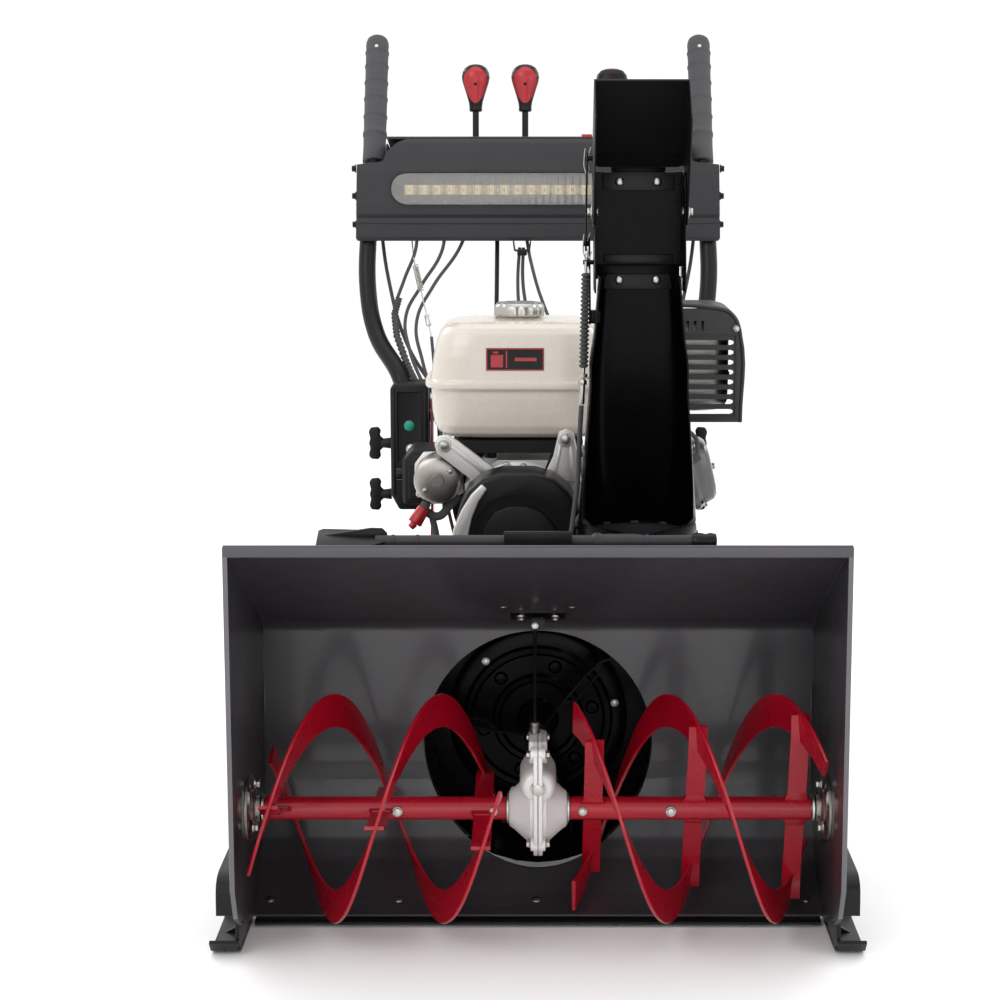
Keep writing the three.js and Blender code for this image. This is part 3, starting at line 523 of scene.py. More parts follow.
# Each finish: how it is made, and the slot of the record it belongs to.
FINISHES = {
    "grey powder coat": (lambda n: painted(
        n, chosen("housing"), "343236", 0.34, 0.35, 2.6, 0.05, 0.1, 0.2
    ), "grey_sheet"),
    "grey coated edge": (lambda n: painted(
        n, "5a585c", "4c4a4e", 0.34, 0.5, 2.6, 0.04, 0.1, 0.2
    ), "grey_sheet"),
    "black powder coat": (lambda n: painted(
        n, chosen("chute"), "020203", 0.26, 0.03, 2.8, 0.04, spec=0.07
    ), "black_paint"),
    "satin black coat": (lambda n: painted(
        n, "111113", "0a0a0b", 0.4, 0.06, 1.8, 0.1, spec=0.22
    ), "black_paint"),
    "red powder coat": (lambda n: painted(
        n, chosen("augers"), "88041a", 0.28, 0.25, 2.6, 0.05, spec=0.3
    ), "red_paint"),
    "cast aluminium": (lambda n: bare_metal(
        n, "dcdad6", "bcbab6", 0.5, 1.3, 0.4, (1, 1, 1), 0.3, "8f8b84"
    ), "cast_aluminium"),
    # A paler, less metallic copy of cast aluminium for the gearbox: partly its silver coat, partly painted
    # light standing for the bright frontal light on it.
    "silver cast paint": (lambda n: painted(
        n, "dedddb", "c4c3c1", 0.42, 0.15, 1.4, 0.35, metallic=0.2
    ), "cast_aluminium"),
    "zinc plated steel": (lambda n: bare_metal(
        n, "c9c7c2", "a19f9a", 0.3, 1.0, 0.12, (1, 1, 1), 0.25, "8a8478"
    ), "steel"),
    "turned steel": (lambda n: bare_metal(
        n, "b8b4ae", "908c86", 0.28, 0.8, 0.2, (1, 6, 6), 0.35, "5f5850"
    ), "steel"),
    "heat dulled steel": (lambda n: bare_metal(
        n, "a8a6a2", "8a8884", 0.38, 1.6, 0.25, (1, 1, 1), 0.5, "6c655c"
    ), "steel"),
    "cream enamel": (lambda n: painted(n, chosen("tank"), "c8c0b5", 0.26, 0.35, 3.0, 0.05), "cream_paint"),
    "black ABS": (lambda n: moulded(n, "161618", "0e0e10", 0.48, spec=0.25), "black_plastic"),
    "smooth black ABS": (lambda n: moulded(n, "111113", "0a0a0b", 0.34, 2.0, 0.08, 0.22), "black_plastic"),
    "grey ABS": (lambda n: moulded(n, chosen("panel"), "262528", 0.5, 0.8, 0.15, 0.35), "grey_plastic"),
    "rubber": (lambda n: moulded(n, "0e0e0f", "09090a", 0.6, 1.2, 0.2, 0.06), "rubber"),
    "tyre rubber": (lambda n: moulded(n, "1f1e1e", "131312", 0.78, 2.0, 0.5, 0.3), "tyre"),
    "black heat paint": (lambda n: painted(n, "18181a", "0f0f11", 0.5, 0.05, 1.5, 0.15), "engine_black"),
    "red ABS": (lambda n: moulded(n, chosen("knobs"), "930c18", 0.3, 2.0, 0.06), "red_plastic"),
    "green ABS": (lambda n: moulded(n, "14957f", "0e7a68", 0.35, 2.0, 0.06), "black_plastic"),
    "white ABS": (lambda n: moulded(n, "dcdcd8", "c9c9c4", 0.4, 2.0, 0.06), "grey_plastic"),
    "polycarbonate": (clear_lens, "clear_lens"), "diode strip": (diode_strip_with_painted_glow, "clear_lens"),
}


def finish_of(name):
    """The material of a finish, made the first time it is asked for."""
    found = bpy.data.materials.get(name)
    return found or FINISHES[name][0](name)


def dress(node, name):
    """Gives a frame part that stays in view its real finish."""
    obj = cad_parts[node]
    material = finish_of(name)
    for place in obj.material_slots:
        place.material = material


# ------------------------------------------------------------------ housing
WRAP = [
    (0, 546), (322, 390), (336, 382), (345, 369), (345, 180), (341, 155), (333, 128), (321, 104), (305, 80),
    (284, 58), (258, 39), (232, 25), (208, 17), (186, 13)
]
SIDE = [
    (0, 546), (322, 393), (338, 384.5), (348, 370), (348, 180), (344, 154), (336, 127), (324, 102), (307, 78),
    (286, 55), (260, 36), (234, 22), (210, 14.4), (186, 10.4), (146, 20), (112, 32), (60, 50), (22, 72),
    (0, 112)
]


def housing_side(side):
    """A side plate, its folded rim and its rolled front edge."""
    x = 380 * side
    wall = plate("x", SIDE, x - 3 * side, x, 0.8)
    rim = [(-1.4, 545), (-1.4, 112.4), (21, 71), (59, 48.6), (111, 30.8)]
    edge = folded("x", rim, x - 6 * side, x - 0.2 * side, 2, 3, 0)
    rolled = pipe([
        (x - 1.6 * side, -0.2, 543), (x - 1.6 * side, -0.2, 113), (x - 1.6 * side, 22, 73),
        (x - 1.6 * side, 60, 51), (x - 1.6 * side, 112, 33)
    ], 2.0, smooth=1, kind="VECTOR")
    return wall, weld(edge, rolled)


def build_housing():
    hood = folded("x", WRAP, -377.5, 377.5, 3, 5, -1)
    mouth = drum((0, 240, DRUM_Z), (0, 420, DRUM_Z), DRUM_R + 1, sides=96)
    hood = carve(hood, mouth)
    for_lip = [(4, 545.6), (-1.3, 547), (-2.1, 544), (-2.1, 533), (2.4, 532.4)]
    lip = folded("x", for_lip, -379, 379, 1.6, 1.6, 0)
    left, left_edge = housing_side(-1)
    right, right_edge = housing_side(1)
    shell = done(
        weld(hood, left, right), "auger_housing_shell", "grey powder coat", stands_for="auger_housing"
    )
    done(lip, "housing_top_lip", "grey powder coat")
    done(weld(left_edge, right_edge), "housing_side_edges", "grey coated edge")
    seams = []
    for side in (-1, 1):
        bead = [
            (379.4 * side - 3.2 * side, y, z - 2)
            for y, z in (
                (30, 531), (120, 488), (220, 439), (318, 391), (343, 366), (343, 280), (343, 180), (331, 128),
                (303, 80), (256, 40), (212, 20)
            )
        ]
        seams.append(pipe(bead, 2.2, smooth=4, roundness=2))
    done(weld(*seams), "housing_weld_seams", "grey powder coat")
    return shell


def build_housing_bolts():
    heads = []
    for x in (-46, 45):
        heads.append(dome_bolt((x, 262, 416), "-z", 6))
        heads.append(hex_bolt((x, 262, 423.5), "z", 6, washer=9))
    for x in (-358, -186, -2, 184, 358):
        heads.append(reshape(dome_bolt((x, 222, 22), "z", 8.5, 4.5), about((x, 222, 22), 18, "X")))
    done(weld(*heads), "housing_bolts", "zinc plated steel")
    bearing_bolts = []
    for side in (-1, 1):
        for turn in (90, 210, 330):
            y = AUGER_Y + 33 * math.cos(math.radians(turn))
            z = AUGER_Z + 33 * math.sin(math.radians(turn))
            bearing_bolts.append(hex_bolt((side * 367.5, y, z), "-x" if side > 0 else "x", 7))
            bearing_bolts.append(dome_bolt((side * 380.2, y, z), "x" if side > 0 else "-x", 8.5, 4))
        for y in (104, 196):
            bearing_bolts.append(hex_bolt((side * 385.6, y, 62), "x" if side > 0 else "-x", 8, washer=12))
    done(weld(*bearing_bolts), "side_bolts", "zinc plated steel")


def build_scraper():
    bar = folded("x", [(179.4, 3.4), (180.4, 6.4), (186, 7.8), (213, 12.6)], -374, 374, 2.4, 2, 0)
    done(bar, "scraper_bar", "satin black coat", stands_for="scraper_blade")


def skid_shoe(side):
    """A bolted web with a curled runner along its foot and another along its top."""
    x = 380.6 * side
    web = plate("x", [
        (78, 6), (224, 6), (229, 12), (229, 94), (224, 100), (78, 100), (73, 94), (73, 12)
    ], x, x + 4.6 * side, 0.8)
    slots = [
        plate("x", [
            (y - 13, 57), (y - 8, 54), (y + 8, 54), (y + 13, 57), (y + 13, 67), (y + 8, 70), (y - 8, 70),
            (y - 13, 67)
        ], x - 8 * side, x + 20 * side, 0)
        for y in (104, 196)
    ]
    runner = folded("x", [
        (67.6, 21.6), (82, 6), (96, 2.5), (206, 2.5), (220, 6), (234.4, 21.6)
    ], x, x + 37.4 * side, 4.6, 9, 0, 5)
    top = folded("x", [
        (68.4, 57), (69.4, 90), (79, 100.4), (94, 103.4), (208, 103.4), (223, 100.4), (232.6, 90), (233.6, 57)
    ], x, x + 27.6 * side, 4.6, 8, 0, 4)
    gusset = plate("y", [(x + 3 * side, 6), (x + 30 * side, 4), (x + 4 * side, 18)], 148, 153, 0.8)
    return weld(carve(web, *slots), runner, top, gusset)


def build_skid_shoes():
    for word, side in (("left", -1), ("right", 1)):
        done(skid_shoe(side), f"skid_shoe_{word}_bar", "satin black coat", stands_for=f"skid_shoe_{word}")


def build_bearings():
    for word, side in (("left", -1), ("right", 1)):
        wall = 376.4 * side
        inward = -side
        profile = [
            (10, 0), (43.5, 0), (43.5, 3), (41, 5), (30, 6.4), (27, 9.5), (24, 11), (20.6, 11.6),
            (20.6, 16.4), (19, 17), (10, 17)
        ]
        cup = turned("x", [(r, w * inward) for r, w in profile], AUGER_Y, AUGER_Z, wall, 56, closed=True)
        notches = [
            drum(
                (
                    wall - 3 * side, AUGER_Y + 50 * math.cos(math.radians(t)),
                    AUGER_Z + 50 * math.sin(math.radians(t))
                ),
                (
                    wall - 16 * side, AUGER_Y + 50 * math.cos(math.radians(t)),
                    AUGER_Z + 50 * math.sin(math.radians(t))
                ),
                15, sides=28
            )
            for t in (30, 150, 270)
        ]
        done(
            carve(cup, *notches), f"auger_bearing_{word}_flange", "turned steel",
            stands_for=f"auger_bearing_{word}"
        )


# ------------------------------------------------------------------ augers
LEAD = 280
PHASE = {-1: 1.131, 1: 0.135}


def ribbon(side, start, steps=76):
    """A rolled strip: a short bar across the ribbon, swept round the shaft while it travels along."""
    wall = 2.0
    inner, outer = AUGER_R - 44, AUGER_R - 0.6
    section = [
        (inner, -wall), (inner + 2, -wall - 0.5), (outer - 1, -wall), (outer, 0), (outer - 1, wall),
        (inner + 2, wall + 0.5), (inner, wall)
    ]
    first = outline([
        mm(side * 47 + w, AUGER_Y - r * math.sin(start), AUGER_Z + r * math.cos(start))
        for r, w in section
    ])
    sweep = 2 * math.pi * 313 / LEAD
    edit(first, bpy.ops.mesh.edge_face_add)
    only(first)
    bpy.ops.object.mode_set(mode="EDIT")
    bpy.ops.mesh.select_all(action="SELECT")
    bpy.ops.mesh.spin(steps=steps, angle=-sweep, center=mm(0, AUGER_Y, AUGER_Z), axis=(1, 0, 0))
    bpy.ops.object.mode_set(mode="OBJECT")
    # Travel along the shaft: each copy of the section moves by how far it has been swept round.
    count = len(section)
    for corner in first.data.vertices:
        ring = corner.index // count
        corner.co.x += side * 0.313 * ring / steps
    return edit(first, outward)


def auger_piece(side):
    """Two ribbons on three folded straps each, round a tube."""
    starts = (PHASE[side], PHASE[side] + math.pi)
    parts = [ribbon(side, start) for start in starts]
    straps = []
    for start in starts:
        for share in (0.08, 0.5, 0.92):
            x = side * (46 + 314 * share)
            turn = start + 2 * math.pi * 314 * share / LEAD
            lean = about((x, AUGER_Y, AUGER_Z), math.degrees(turn), "X")
            line = [(-1.2, 13), (-0.6, 30), (0, 70), (0, 112), (7, 128), (9, 140)]
            strap = folded(
                "x", [(AUGER_Y + a, AUGER_Z + r) for a, r in line], x - 12, x + 12, measure("strap"), 10, 0, 4
            )
            straps.append(reshape(strap, lean))
            fillet = plate("y", [
                (x - 17, AUGER_Z + 12), (x + 17, AUGER_Z + 12), (x + 11.5, AUGER_Z + 26),
                (x - 11.5, AUGER_Z + 26)
            ], AUGER_Y - 3.4, AUGER_Y + 3.2, 1)
            straps.append(reshape(fillet, lean))
    wall = [(10.2, 41), (14.4, 41), (15, 41.6), (15, 353.4), (14.4, 354), (10.2, 354)]
    tube = turned("x", [(r, side * x) for r, x in wall], AUGER_Y, AUGER_Z, 0, 40, closed=True)
    return weld(tube, *parts, *straps)


def build_augers():
    for word, side in (("left", -1), ("right", 1)):
        done(
            auger_piece(side), f"auger_{word}_ribbons", "red powder coat", "auger", f"auger_{word}", smooth=40
        )
    bolts = []
    for x in (-182, 172):
        bolts.append(hex_bolt((x, AUGER_Y - 15, AUGER_Z), "-y", 6.5))
        bolts.append(hex_bolt((x, AUGER_Y + 15, AUGER_Z), "y", 6))
    for x in (-58, 58):
        bolts.append(hex_bolt((x, AUGER_Y - 15, AUGER_Z), "-y", 5.5))
    done(weld(*bolts), "shear_bolts", "zinc plated steel", "auger")
    collars = []
    for side in (-1, 1):
        collars.append(turned("x", [
            (9.4, side * 355.4), (18, side * 355.4), (18.4, side * 358), (9.4, side * 358)
        ], AUGER_Y, AUGER_Z, 0, 36, closed=True))
    done(weld(*collars), "auger_end_washers", "zinc plated steel", "auger")
    dress("auger_shaft", "turned steel")


# ------------------------------------------------------------------ auger gearbox
def gear_half(side):
    """One dished casting: wheel dome, worm barrel and the bolting flange on the joint."""
    gap = 0.3 * side
    flange_line = [
        (117, 128), (134, 114), (160, 108), (186, 114), (208, 134), (222, 160), (231, 192), (231, 226),
        (222, 250), (203, 264), (140, 264), (118, 250), (111, 228), (112, 200), (109, 170), (110, 146)
    ]
    flange = plate("x", flange_line, gap, 6 * side, 1.4, 3)
    dome = turned("x", [
        (0, gap), (45, gap), (45.5, 10 * side), (43, 13 * side), (27, 31 * side), (23.6, 36 * side),
        (21, 37.8 * side), (12.4, 37.8 * side), (12.4, 34 * side), (0, 34 * side)
    ], AUGER_Y, AUGER_Z, 0, 56)
    barrel = turned("y", [
        (0, 119), (15, 119), (19, 121), (22.6, 127), (23.6, 140), (23.6, 212), (22, 222), (18, 225.6),
        (0, 225.6)
    ], 0, DRUM_Z, 0, 56)
    far = 120 * side
    half = block(gap, far, 0, 400, 0, 400, 0)
    barrel = modify(barrel, "BOOLEAN", operation="INTERSECT", object=half, solver="EXACT")
    bpy.data.objects.remove(half, do_unlink=True)
    ribs = []
    for turn in (25, 90, 155, 250, 300):
        rib = plate("y", [
            (gap + 5 * side, AUGER_Z + 20), (gap + 30 * side, AUGER_Z + 20), (gap + 8 * side, AUGER_Z + 46)
        ], AUGER_Y - 2, AUGER_Y + 2, 0.8)
        ribs.append(reshape(rib, about((0, AUGER_Y, AUGER_Z), turn, "X")))
    bosses = [
        drum((gap, y, z), (9.6 * side, y, z), 9, sides=28, edge=1)
        for y, z in ((124, 133), (186, 122), (219, 178), (215, 250), (128, 251))
    ]
    neck = block(gap, 12 * side, 148, 206, 232, 262, 3, 3)
    return weld(flange, dome, barrel, neck, *ribs, *bosses)


def build_gearbox():
    # The castings' pale silver is partly painted light.
    for word, side in (("left", -1), ("right", 1)):
        done(
            gear_half(side), f"gearbox_{word}_casting", "silver cast paint", "frame", f"gearbox_{word}_half",
            smooth=35
        )
    bolts = [
        hex_bolt((9.8, y, z), "x", 5.2)
        for y, z in ((124, 133), (186, 122), (219, 178), (215, 250), (128, 251))
    ]
    bolts += [
        hex_bolt((-9.8, y, z), "-x", 5.2)
        for y, z in ((124, 133), (186, 122), (219, 178), (215, 250), (128, 251))
    ]
    bolts.append(hex_bolt((0, 119.4, DRUM_Z), "-y", 9))
    for side in (-1, 1):
        bolts.append(turned("x", [
            (9.3, 38.2 * side), (19.5, 38.2 * side), (19.5, 40.4 * side), (9.3, 40.4 * side)
        ], AUGER_Y, AUGER_Z, 0, 40, closed=True))
    done(weld(*bolts), "gearbox_bolts", "zinc plated steel")
    thread = [(0, 263)]
    for i in range(7):
        thread += [(5.6, 263.4 + i * 2), (6.8, 264.2 + i * 2)]
    thread += [(5.4, 278), (0, 278.6)]
    done(turned("z", thread, -4, 186, 0, 28), "gearbox_filler_plug", "zinc plated steel")


def build_stay():
    slope = math.degrees(math.atan2(-156, 322))
    foot = block(-37, 37, -20, 20, -2, 2, 1.2)
    foot = reshape(foot, Matrix.Translation(mm(0, 303, 395.5) - mm(0, 0, 0)) @ about((0, 0, 0), slope, "X"))
    tab = folded("x", [(300, 395), (290, 396.5), (287, 391), (286.6, 379)], -9, 9, 2.6, 3, 0)
    rod = pipe([
        (-4, 284.4, 388), (-4, 283.6, 381), (-4, 262, 352), (-4, 226, 312), (-4, 197, 284), (-4, 188, 273)
    ], 2.1, smooth=10)
    done(weld(foot, tab, rod), "gearbox_stay_rod", "satin black coat", "frame", "gearbox_stay")
    bolts = [reshape(hex_bolt((x, 303, 393), "-z", 6.4), about((x, 303, 395), slope, "X")) for x in (-23, 23)]
    bolts.append(hex_bolt((-4, 282.8, 385), "-y", 4.4))
    done(weld(*bolts), "stay_bolts", "zinc plated steel")


# ------------------------------------------------------------------ impeller
def build_impeller():
    rings = [
        (10, 466.5), (18, 466.5), (20, 464), (26, 463.4), (30, 467), (52, 467.4), (56, 463.6), (62, 463.4),
        (66, 467.2), (92, 467.6), (96, 463.8), (103, 463.6), (107, 467.4), (124, 467.8), (127.6, 469.4),
        (127.6, 471.6), (10, 471.6)
    ]
    disc = turned("y", rings, 0, DRUM_Z, 0, 96, closed=True)
    dimples = []
    for i in range(6):
        turn = math.radians(60 * i + 12)
        dimples.append(turned(
            "y", [(0, 462.6), (7, 463.4), (10, 467.2), (10, 469), (0, 469)], 79 * math.cos(turn),
            DRUM_Z + 79 * math.sin(turn), 0, 20
        ))
    hub = turned("y", [
        (9.8, 371), (18, 371), (19.6, 373), (19.6, 466), (9.8, 466)
    ], 0, DRUM_Z, 0, 40, closed=True)
    paddles = []
    for turn in (0.65, 0.65 + 2.094, 0.65 + 4.189):
        line = [(-1, 16), (-1, 60), (1.5, 110), (6, 140), (14, 147)]
        blade = folded("y", [(u, DRUM_Z + v) for u, v in line], 373, 466, 3.4, 8, 0, 4)
        rib = folded("y", [(1, DRUM_Z + 60), (12, DRUM_Z + 72), (14, DRUM_Z + 130)], 374, 378, 3, 4, 0)
        paddles.append(reshape(weld(blade, rib), about((0, 0, DRUM_Z), math.degrees(turn), "Y")))
    done(
        weld(disc, hub, *dimples, *paddles), "impeller_stamping", "black powder coat", "impeller", "impeller",
        smooth=35
    )
    bolts = [hex_bolt((0, 371, DRUM_Z + 0), "-y", 8)]
    bolts += [
        hex_bolt((112 * math.cos(t), 467.6, DRUM_Z + 112 * math.sin(t)), "-y", 5.4)
        for t in (0.2, 2.3, 4.4)
    ]
    done(weld(*bolts), "impeller_bolts", "zinc plated steel", "impeller")
    dress("impeller_shaft", "turned steel")
    dress("impeller_pulley", "heat dulled steel")
    dress("engine_pulley", "heat dulled steel")


def build_drum():
    dress("impeller_drum", "black powder coat")
    flange = turned("y", [
        (DRUM_R + 0.4, 346.2), (DRUM_R + 4.6, 346.4), (DRUM_R + 4.8, 352), (DRUM_R + 3.2, 352),
        (DRUM_R + 3, 347.8), (DRUM_R + 0.4, 347.6)
    ], 0, DRUM_Z, 0, 96, closed=True)
    done(flange, "drum_rim", "black powder coat")
    rib = turned("y", [
        (DRUM_R + 3.1, 470), (DRUM_R + 7, 472), (DRUM_R + 7, 480), (DRUM_R + 3.1, 482)
    ], 0, DRUM_Z, 0, 96, closed=True)
    worm = turned("z", [
        (86.2, 465.4), (88, 467), (88, 469.4), (82, 470.2), (70, 470.2), (70, 465.2)
    ], CHUTE_X, CHUTE_Y, 0, 72, closed=True)
    done(weld(rib, worm), "drum_bands", "satin black coat")


# ------------------------------------------------------------------ curved sheets
def sheet_of(across, up, place, thick=0.0):
    """A grid whose corners are moved to place(u, v), with u and v from 0 to 1."""
    deselect()
    bpy.ops.mesh.primitive_grid_add(x_subdivisions=across, y_subdivisions=up, size=1)
    obj = bpy.context.object
    for corner in obj.data.vertices:
        corner.co = place(corner.co.x + 0.5, corner.co.y + 0.5)
    edit(obj, outward)
    if thick:
        modify(obj, "SOLIDIFY", thickness=thick / 1000, offset=0.0, use_even_offset=True)
        edit(obj, outward)
    return obj


def between(stops, share):
    """The value at a share of the way through a list of stops."""
    place = share * (len(stops) - 1)
    i = min(int(place), len(stops) - 2)
    part = place - i
    return [a + (b - a) * part for a, b in zip(stops[i], stops[i + 1])]


def square_round(turn, power):
    """A point on a rounded square of half width 1."""
    c, s = math.cos(turn), math.sin(turn)
    size = (abs(c) ** power + abs(s) ** power) ** (-1 / power)
    return c * size, s * size


def pressed(stops, cx, cy, half_x, half_y, power, around=96, up=60, wobble=None):
    """A closed pressed shell: rounded plans of changing size stacked in height."""
    def place(u, v):
        scale, z = between(stops, v)
        turn = 2 * math.pi * u
        x, y = square_round(turn, power)
        grow = wobble(turn, scale) if wobble else 1
        return mm(cx + x * half_x * scale * grow, cy + y * half_y * scale * grow, z)
    return sheet_of(around, up, place)


# ------------------------------------------------------------------ discharge chute
def chute_wall(u, v):
    """The lower channel: round where it meets its ring, squared and open in front above."""
    z = 484 + v * 360
    half = 83.5 - 28 * v
    depth = 83.5 - 28 * v
    power = 2 + 3.2 * min(1, v * 1.6)
    ease = min(1, max(0, (z - 494) / 18))
    ease = ease * ease * (3 - 2 * ease)
    opening = math.radians(93 - ease * 66)
    turn = -opening + u * (math.pi + 2 * opening)
    x, y = square_round(turn, power)
    centre = CHUTE_Y - 9 * v
    flare = 2.5 * math.exp(-((z - 726) / 26) ** 2)
    return mm(CHUTE_X + x * (half - 1.2 + flare * (1 if y < 0.4 else 0)), centre + y * (depth - 1.2), z)


def build_chute_lower():
    wall = sheet_of(72, 48, chute_wall, measure("chute_sheet"))
    ring = turned("z", [
        (66, 470.6), (84.6, 470.6), (85, 472), (85, 479), (83.4, 481), (81.6, 486), (80, 487), (66, 487)
    ], CHUTE_X, CHUTE_Y, 0, 72, closed=True)
    lugs = [
        reshape(block(
            CHUTE_X - 6, CHUTE_X + 6, CHUTE_Y - 84.6, CHUTE_Y - 78, 479, 490, 1.2
        ), about((CHUTE_X, CHUTE_Y, 0), t, "Z"))
        for t in range(0, 360, 30)
    ]
    done(weld(ring, *lugs), "chute_ring", "grey ABS", "chute")
    plate_ = plate("x", [
        (428, 776), (452, 776), (492, 874), (493, 884), (489, 892), (481, 893), (475, 887), (428, 800)
    ], 70.3, 72.7, 0.6)
    foot = block(71, 86, 430, 450, 777, 795, 2)
    pin = drum((63.2, *LINK_LOW), (71, *LINK_LOW), 3.9, sides=24, edge=0.4)
    leaf = block(CHUTE_X - 39, CHUTE_X + 39, 467, 470.6, 829, 847, 0.6)
    knuckle = drum((CHUTE_X - 39.5, *HINGE_LOW), (CHUTE_X + 39.5, *HINGE_LOW), 2.9, sides=24, edge=0.3)
    flap = block(CHUTE_X - 58, CHUTE_X + 58, 464.6, 466.2, 836, 855, 0.5)
    done(
        weld(wall, plate_, foot, pin, leaf, knuckle, flap), "chute_channel", "black powder coat", "chute",
        "chute_lower", smooth=35
    )
    band = block(CHUTE_X - 47, CHUTE_X + 49, 461.2, 464.4, 822, 843, 1.2)
    done(band, "chute_hinge_strip", "smooth black ABS", "chute")
    heads = [dome_bolt((x, 461.0, 835), "-y", 6.6, 3.2) for x in HINGE_BOLTS_X]
    heads += [hex_bolt((x, 470.8, 835), "y", 6) for x in HINGE_BOLTS_X]
    done(weld(*heads), "chute_hinge_bolts", "zinc plated steel", "chute")


def bent_hood(back, sides, half, sheet=2.0):
    """A sheet with two side walls, its bends rounded."""
    rear = folded("x", back, CHUTE_X - half + 1.5, CHUTE_X + half - 1.5, sheet, 0, 0)
    walls = [plate("x", sides, CHUTE_X + s * (half - sheet), CHUTE_X + s * half, 0.5) for s in (-1, 1)]
    corners = [
        pipe([(CHUTE_X + s * (half - 1.6), y, z) for y, z in back], 1.6, smooth=1, kind="VECTOR")
        for s in (-1, 1)
    ]
    return weld(rear, *walls, *corners)


def build_deflectors():
    middle = bent_hood([(472.6, 853), (462.6, 983.4)], [
        (473.6, 852.4), (464, 983.4), (460, 984), (400, 984), (393, 980), (389, 962), (384, 948), (384, 930),
        (389, 918), (384, 900), (376, 874), (371, 848), (371, 828), (377, 822.4), (455, 822.4), (463, 827),
        (468, 846)
    ], 61.6)
    leaf = block(CHUTE_X - 37, CHUTE_X + 37, 461.6, 464, 968, 986, 0.6)
    knuckle = drum((CHUTE_X - 37.5, *HINGE_HIGH), (CHUTE_X + 37.5, *HINGE_HIGH), 2.9, sides=24, edge=0.3)
    done(
        weld(middle, leaf, knuckle), "deflector_channel", "black powder coat", "deflector",
        "deflector_middle", smooth=35
    )
    bands = weld(
        block(CHUTE_X - 50, CHUTE_X + 50, 458.4, 461.4, 958, 983, 1.2),
        block(CHUTE_X - 47, CHUTE_X + 49, 467.4, 470.4, 858, 870, 1.2)
    )
    done(bands, "deflector_hinge_strips", "smooth black ABS", "deflector")
    heads = [dome_bolt((x, 458.2, 970), "-y", 6.6, 3.2) for x in HINGE_BOLTS_X]
    heads += [hex_bolt((x, 464.6, 970), "y", 6) for x in HINGE_BOLTS_X]
    for s in (-1, 1):
        heads.append(hex_bolt((CHUTE_X + s * 64.6, *HOOD_PIVOT), "x" if s > 0 else "-x", 5.4, washer=10))
        heads.append(dome_bolt((CHUTE_X + s * 58, *HOOD_PIVOT), "-x" if s > 0 else "x", 6, 2.6))
    done(weld(*heads), "deflector_bolts", "zinc plated steel", "deflector")
    pin = weld(drum(
        (CHUTE_X - 60, *CABLE_PIN), (62, *CABLE_PIN), 3.2, sides=20, edge=0.4
    ), drum((70, *CABLE_PIN), (67, *CABLE_PIN), 6, sides=24, edge=0.5))
    done(pin, "cable_pin", "satin black coat", "deflector")
    hood = bent_hood([(463.6, 991.6), (365.6, 1105.4)], [
        (464.8, 991.4), (366, 1106.6), (358, 1100), (308, 1055), (308, 1049), (340, 988), (372, 927),
        (382, 915), (397, 911), (404, 916), (440, 958)
    ], 64)
    lip = pipe([(CHUTE_X - 62, 365.4, 1104.6), (CHUTE_X + 62, 365.4, 1104.6)], 1.8, smooth=1, kind="VECTOR")
    band = folded("x", [(462.2, 990.5), (447.5, 1007.5)], CHUTE_X - 56, CHUTE_X + 56, 2.6, 0, 0)
    pin = drum((63.2, *LINK_HIGH), (74, *LINK_HIGH), 3.9, sides=24, edge=0.4)
    done(weld(hood, lip, pin), "hood_sheet", "satin black coat", "hood", "deflector_top", smooth=35)
    done(band, "hood_hinge_strip", "smooth black ABS", "hood")


def clip(centre, side):
    """A hairpin spring clip through the end of a pin."""
    x, y, z = centre
    route = [
        (x, y - 1, z + 13), (x + side, y, z + 4), (x, y + 1, z - 16), (x - 3 * side, y + 1, z - 20),
        (x - 5 * side, y, z - 14), (x - 3 * side, y, z - 3), (x - 5 * side, y, z + 6),
        (x - 8 * side, y, z + 15)
    ]
    return pipe(route, 0.9, smooth=5, roundness=2)


def build_link():
    strap = plate("x", [
        (480.5, 875), (488, 872.5), (494, 879), (493, 888), (433, 1009), (424, 1011), (419, 1004), (421, 996)
    ], 65.2, 67.8, 0.7)
    holes = [drum((60, y, z), (74, y, z), r, sides=32) for y, z, r in ((*LINK_LOW, 4.4), (*LINK_HIGH, 5.2))]
    done(carve(strap, *holes), "deflector_link_bar", "satin black coat", "link", "deflector_link")
    done(clip((64.2, *LINK_HIGH), -1), "link_clip_upper", "zinc plated steel", "hood")
    done(clip((64.2, *LINK_LOW), -1), "link_clip_lower", "zinc plated steel", "chute")


def build_deflector_cable():
    top, bottom = Vector((66, 440, 846)), Vector((63, 432, 716))
    stops = []
    for i in range(22):
        stops += [(3.9, i / 22), (6.6, (i + 0.35) / 22), (6.6, (i + 0.6) / 22)]
    stops.append((3.9, 1))

    def place(u, v):
        radius, share = between([(0.2, 0)] + stops + [(0.2, 1)], v)
        point = top.lerp(bottom, share)
        turn = 2 * math.pi * u
        return mm(point.x + radius * math.cos(turn), point.y + radius * math.sin(turn), point.z)
    sleeve = sheet_of(20, 136, place)
    done(sleeve, "cable_bellows", "rubber", "chute")
    cable = pipe([(60, 428, 664), (57, 424, 610), (55, 420, 560), (50, 410, 520), (46, 404, 490)], 3.4)
    done(cable, "deflector_cable", "rubber", "chute")
    nuts = weld(
        drum((63, 432, 716), (62, 431, 700), 2.6, sides=20),
        drum((62.6, 431.5, 708), (62.4, 431, 702), 6, sides=6, edge=0.5),
        drum((61.9, 430.6, 699), (61.7, 430.4, 693), 6, sides=6, edge=0.5),
        drum((62, 431, 700), (60.4, 428.6, 666), 3.8, sides=24, edge=0.5),
        block(58, 74, 427, 436, 701, 703.4, 0.5), drum((66, 441, 862), (66, 440, 846), 2.0, sides=16)
    )
    done(nuts, "cable_adjuster", "zinc plated steel", "chute")
    done(clip((66, *CABLE_PIN), -1), "cable_pin_clip", "zinc plated steel", "deflector")


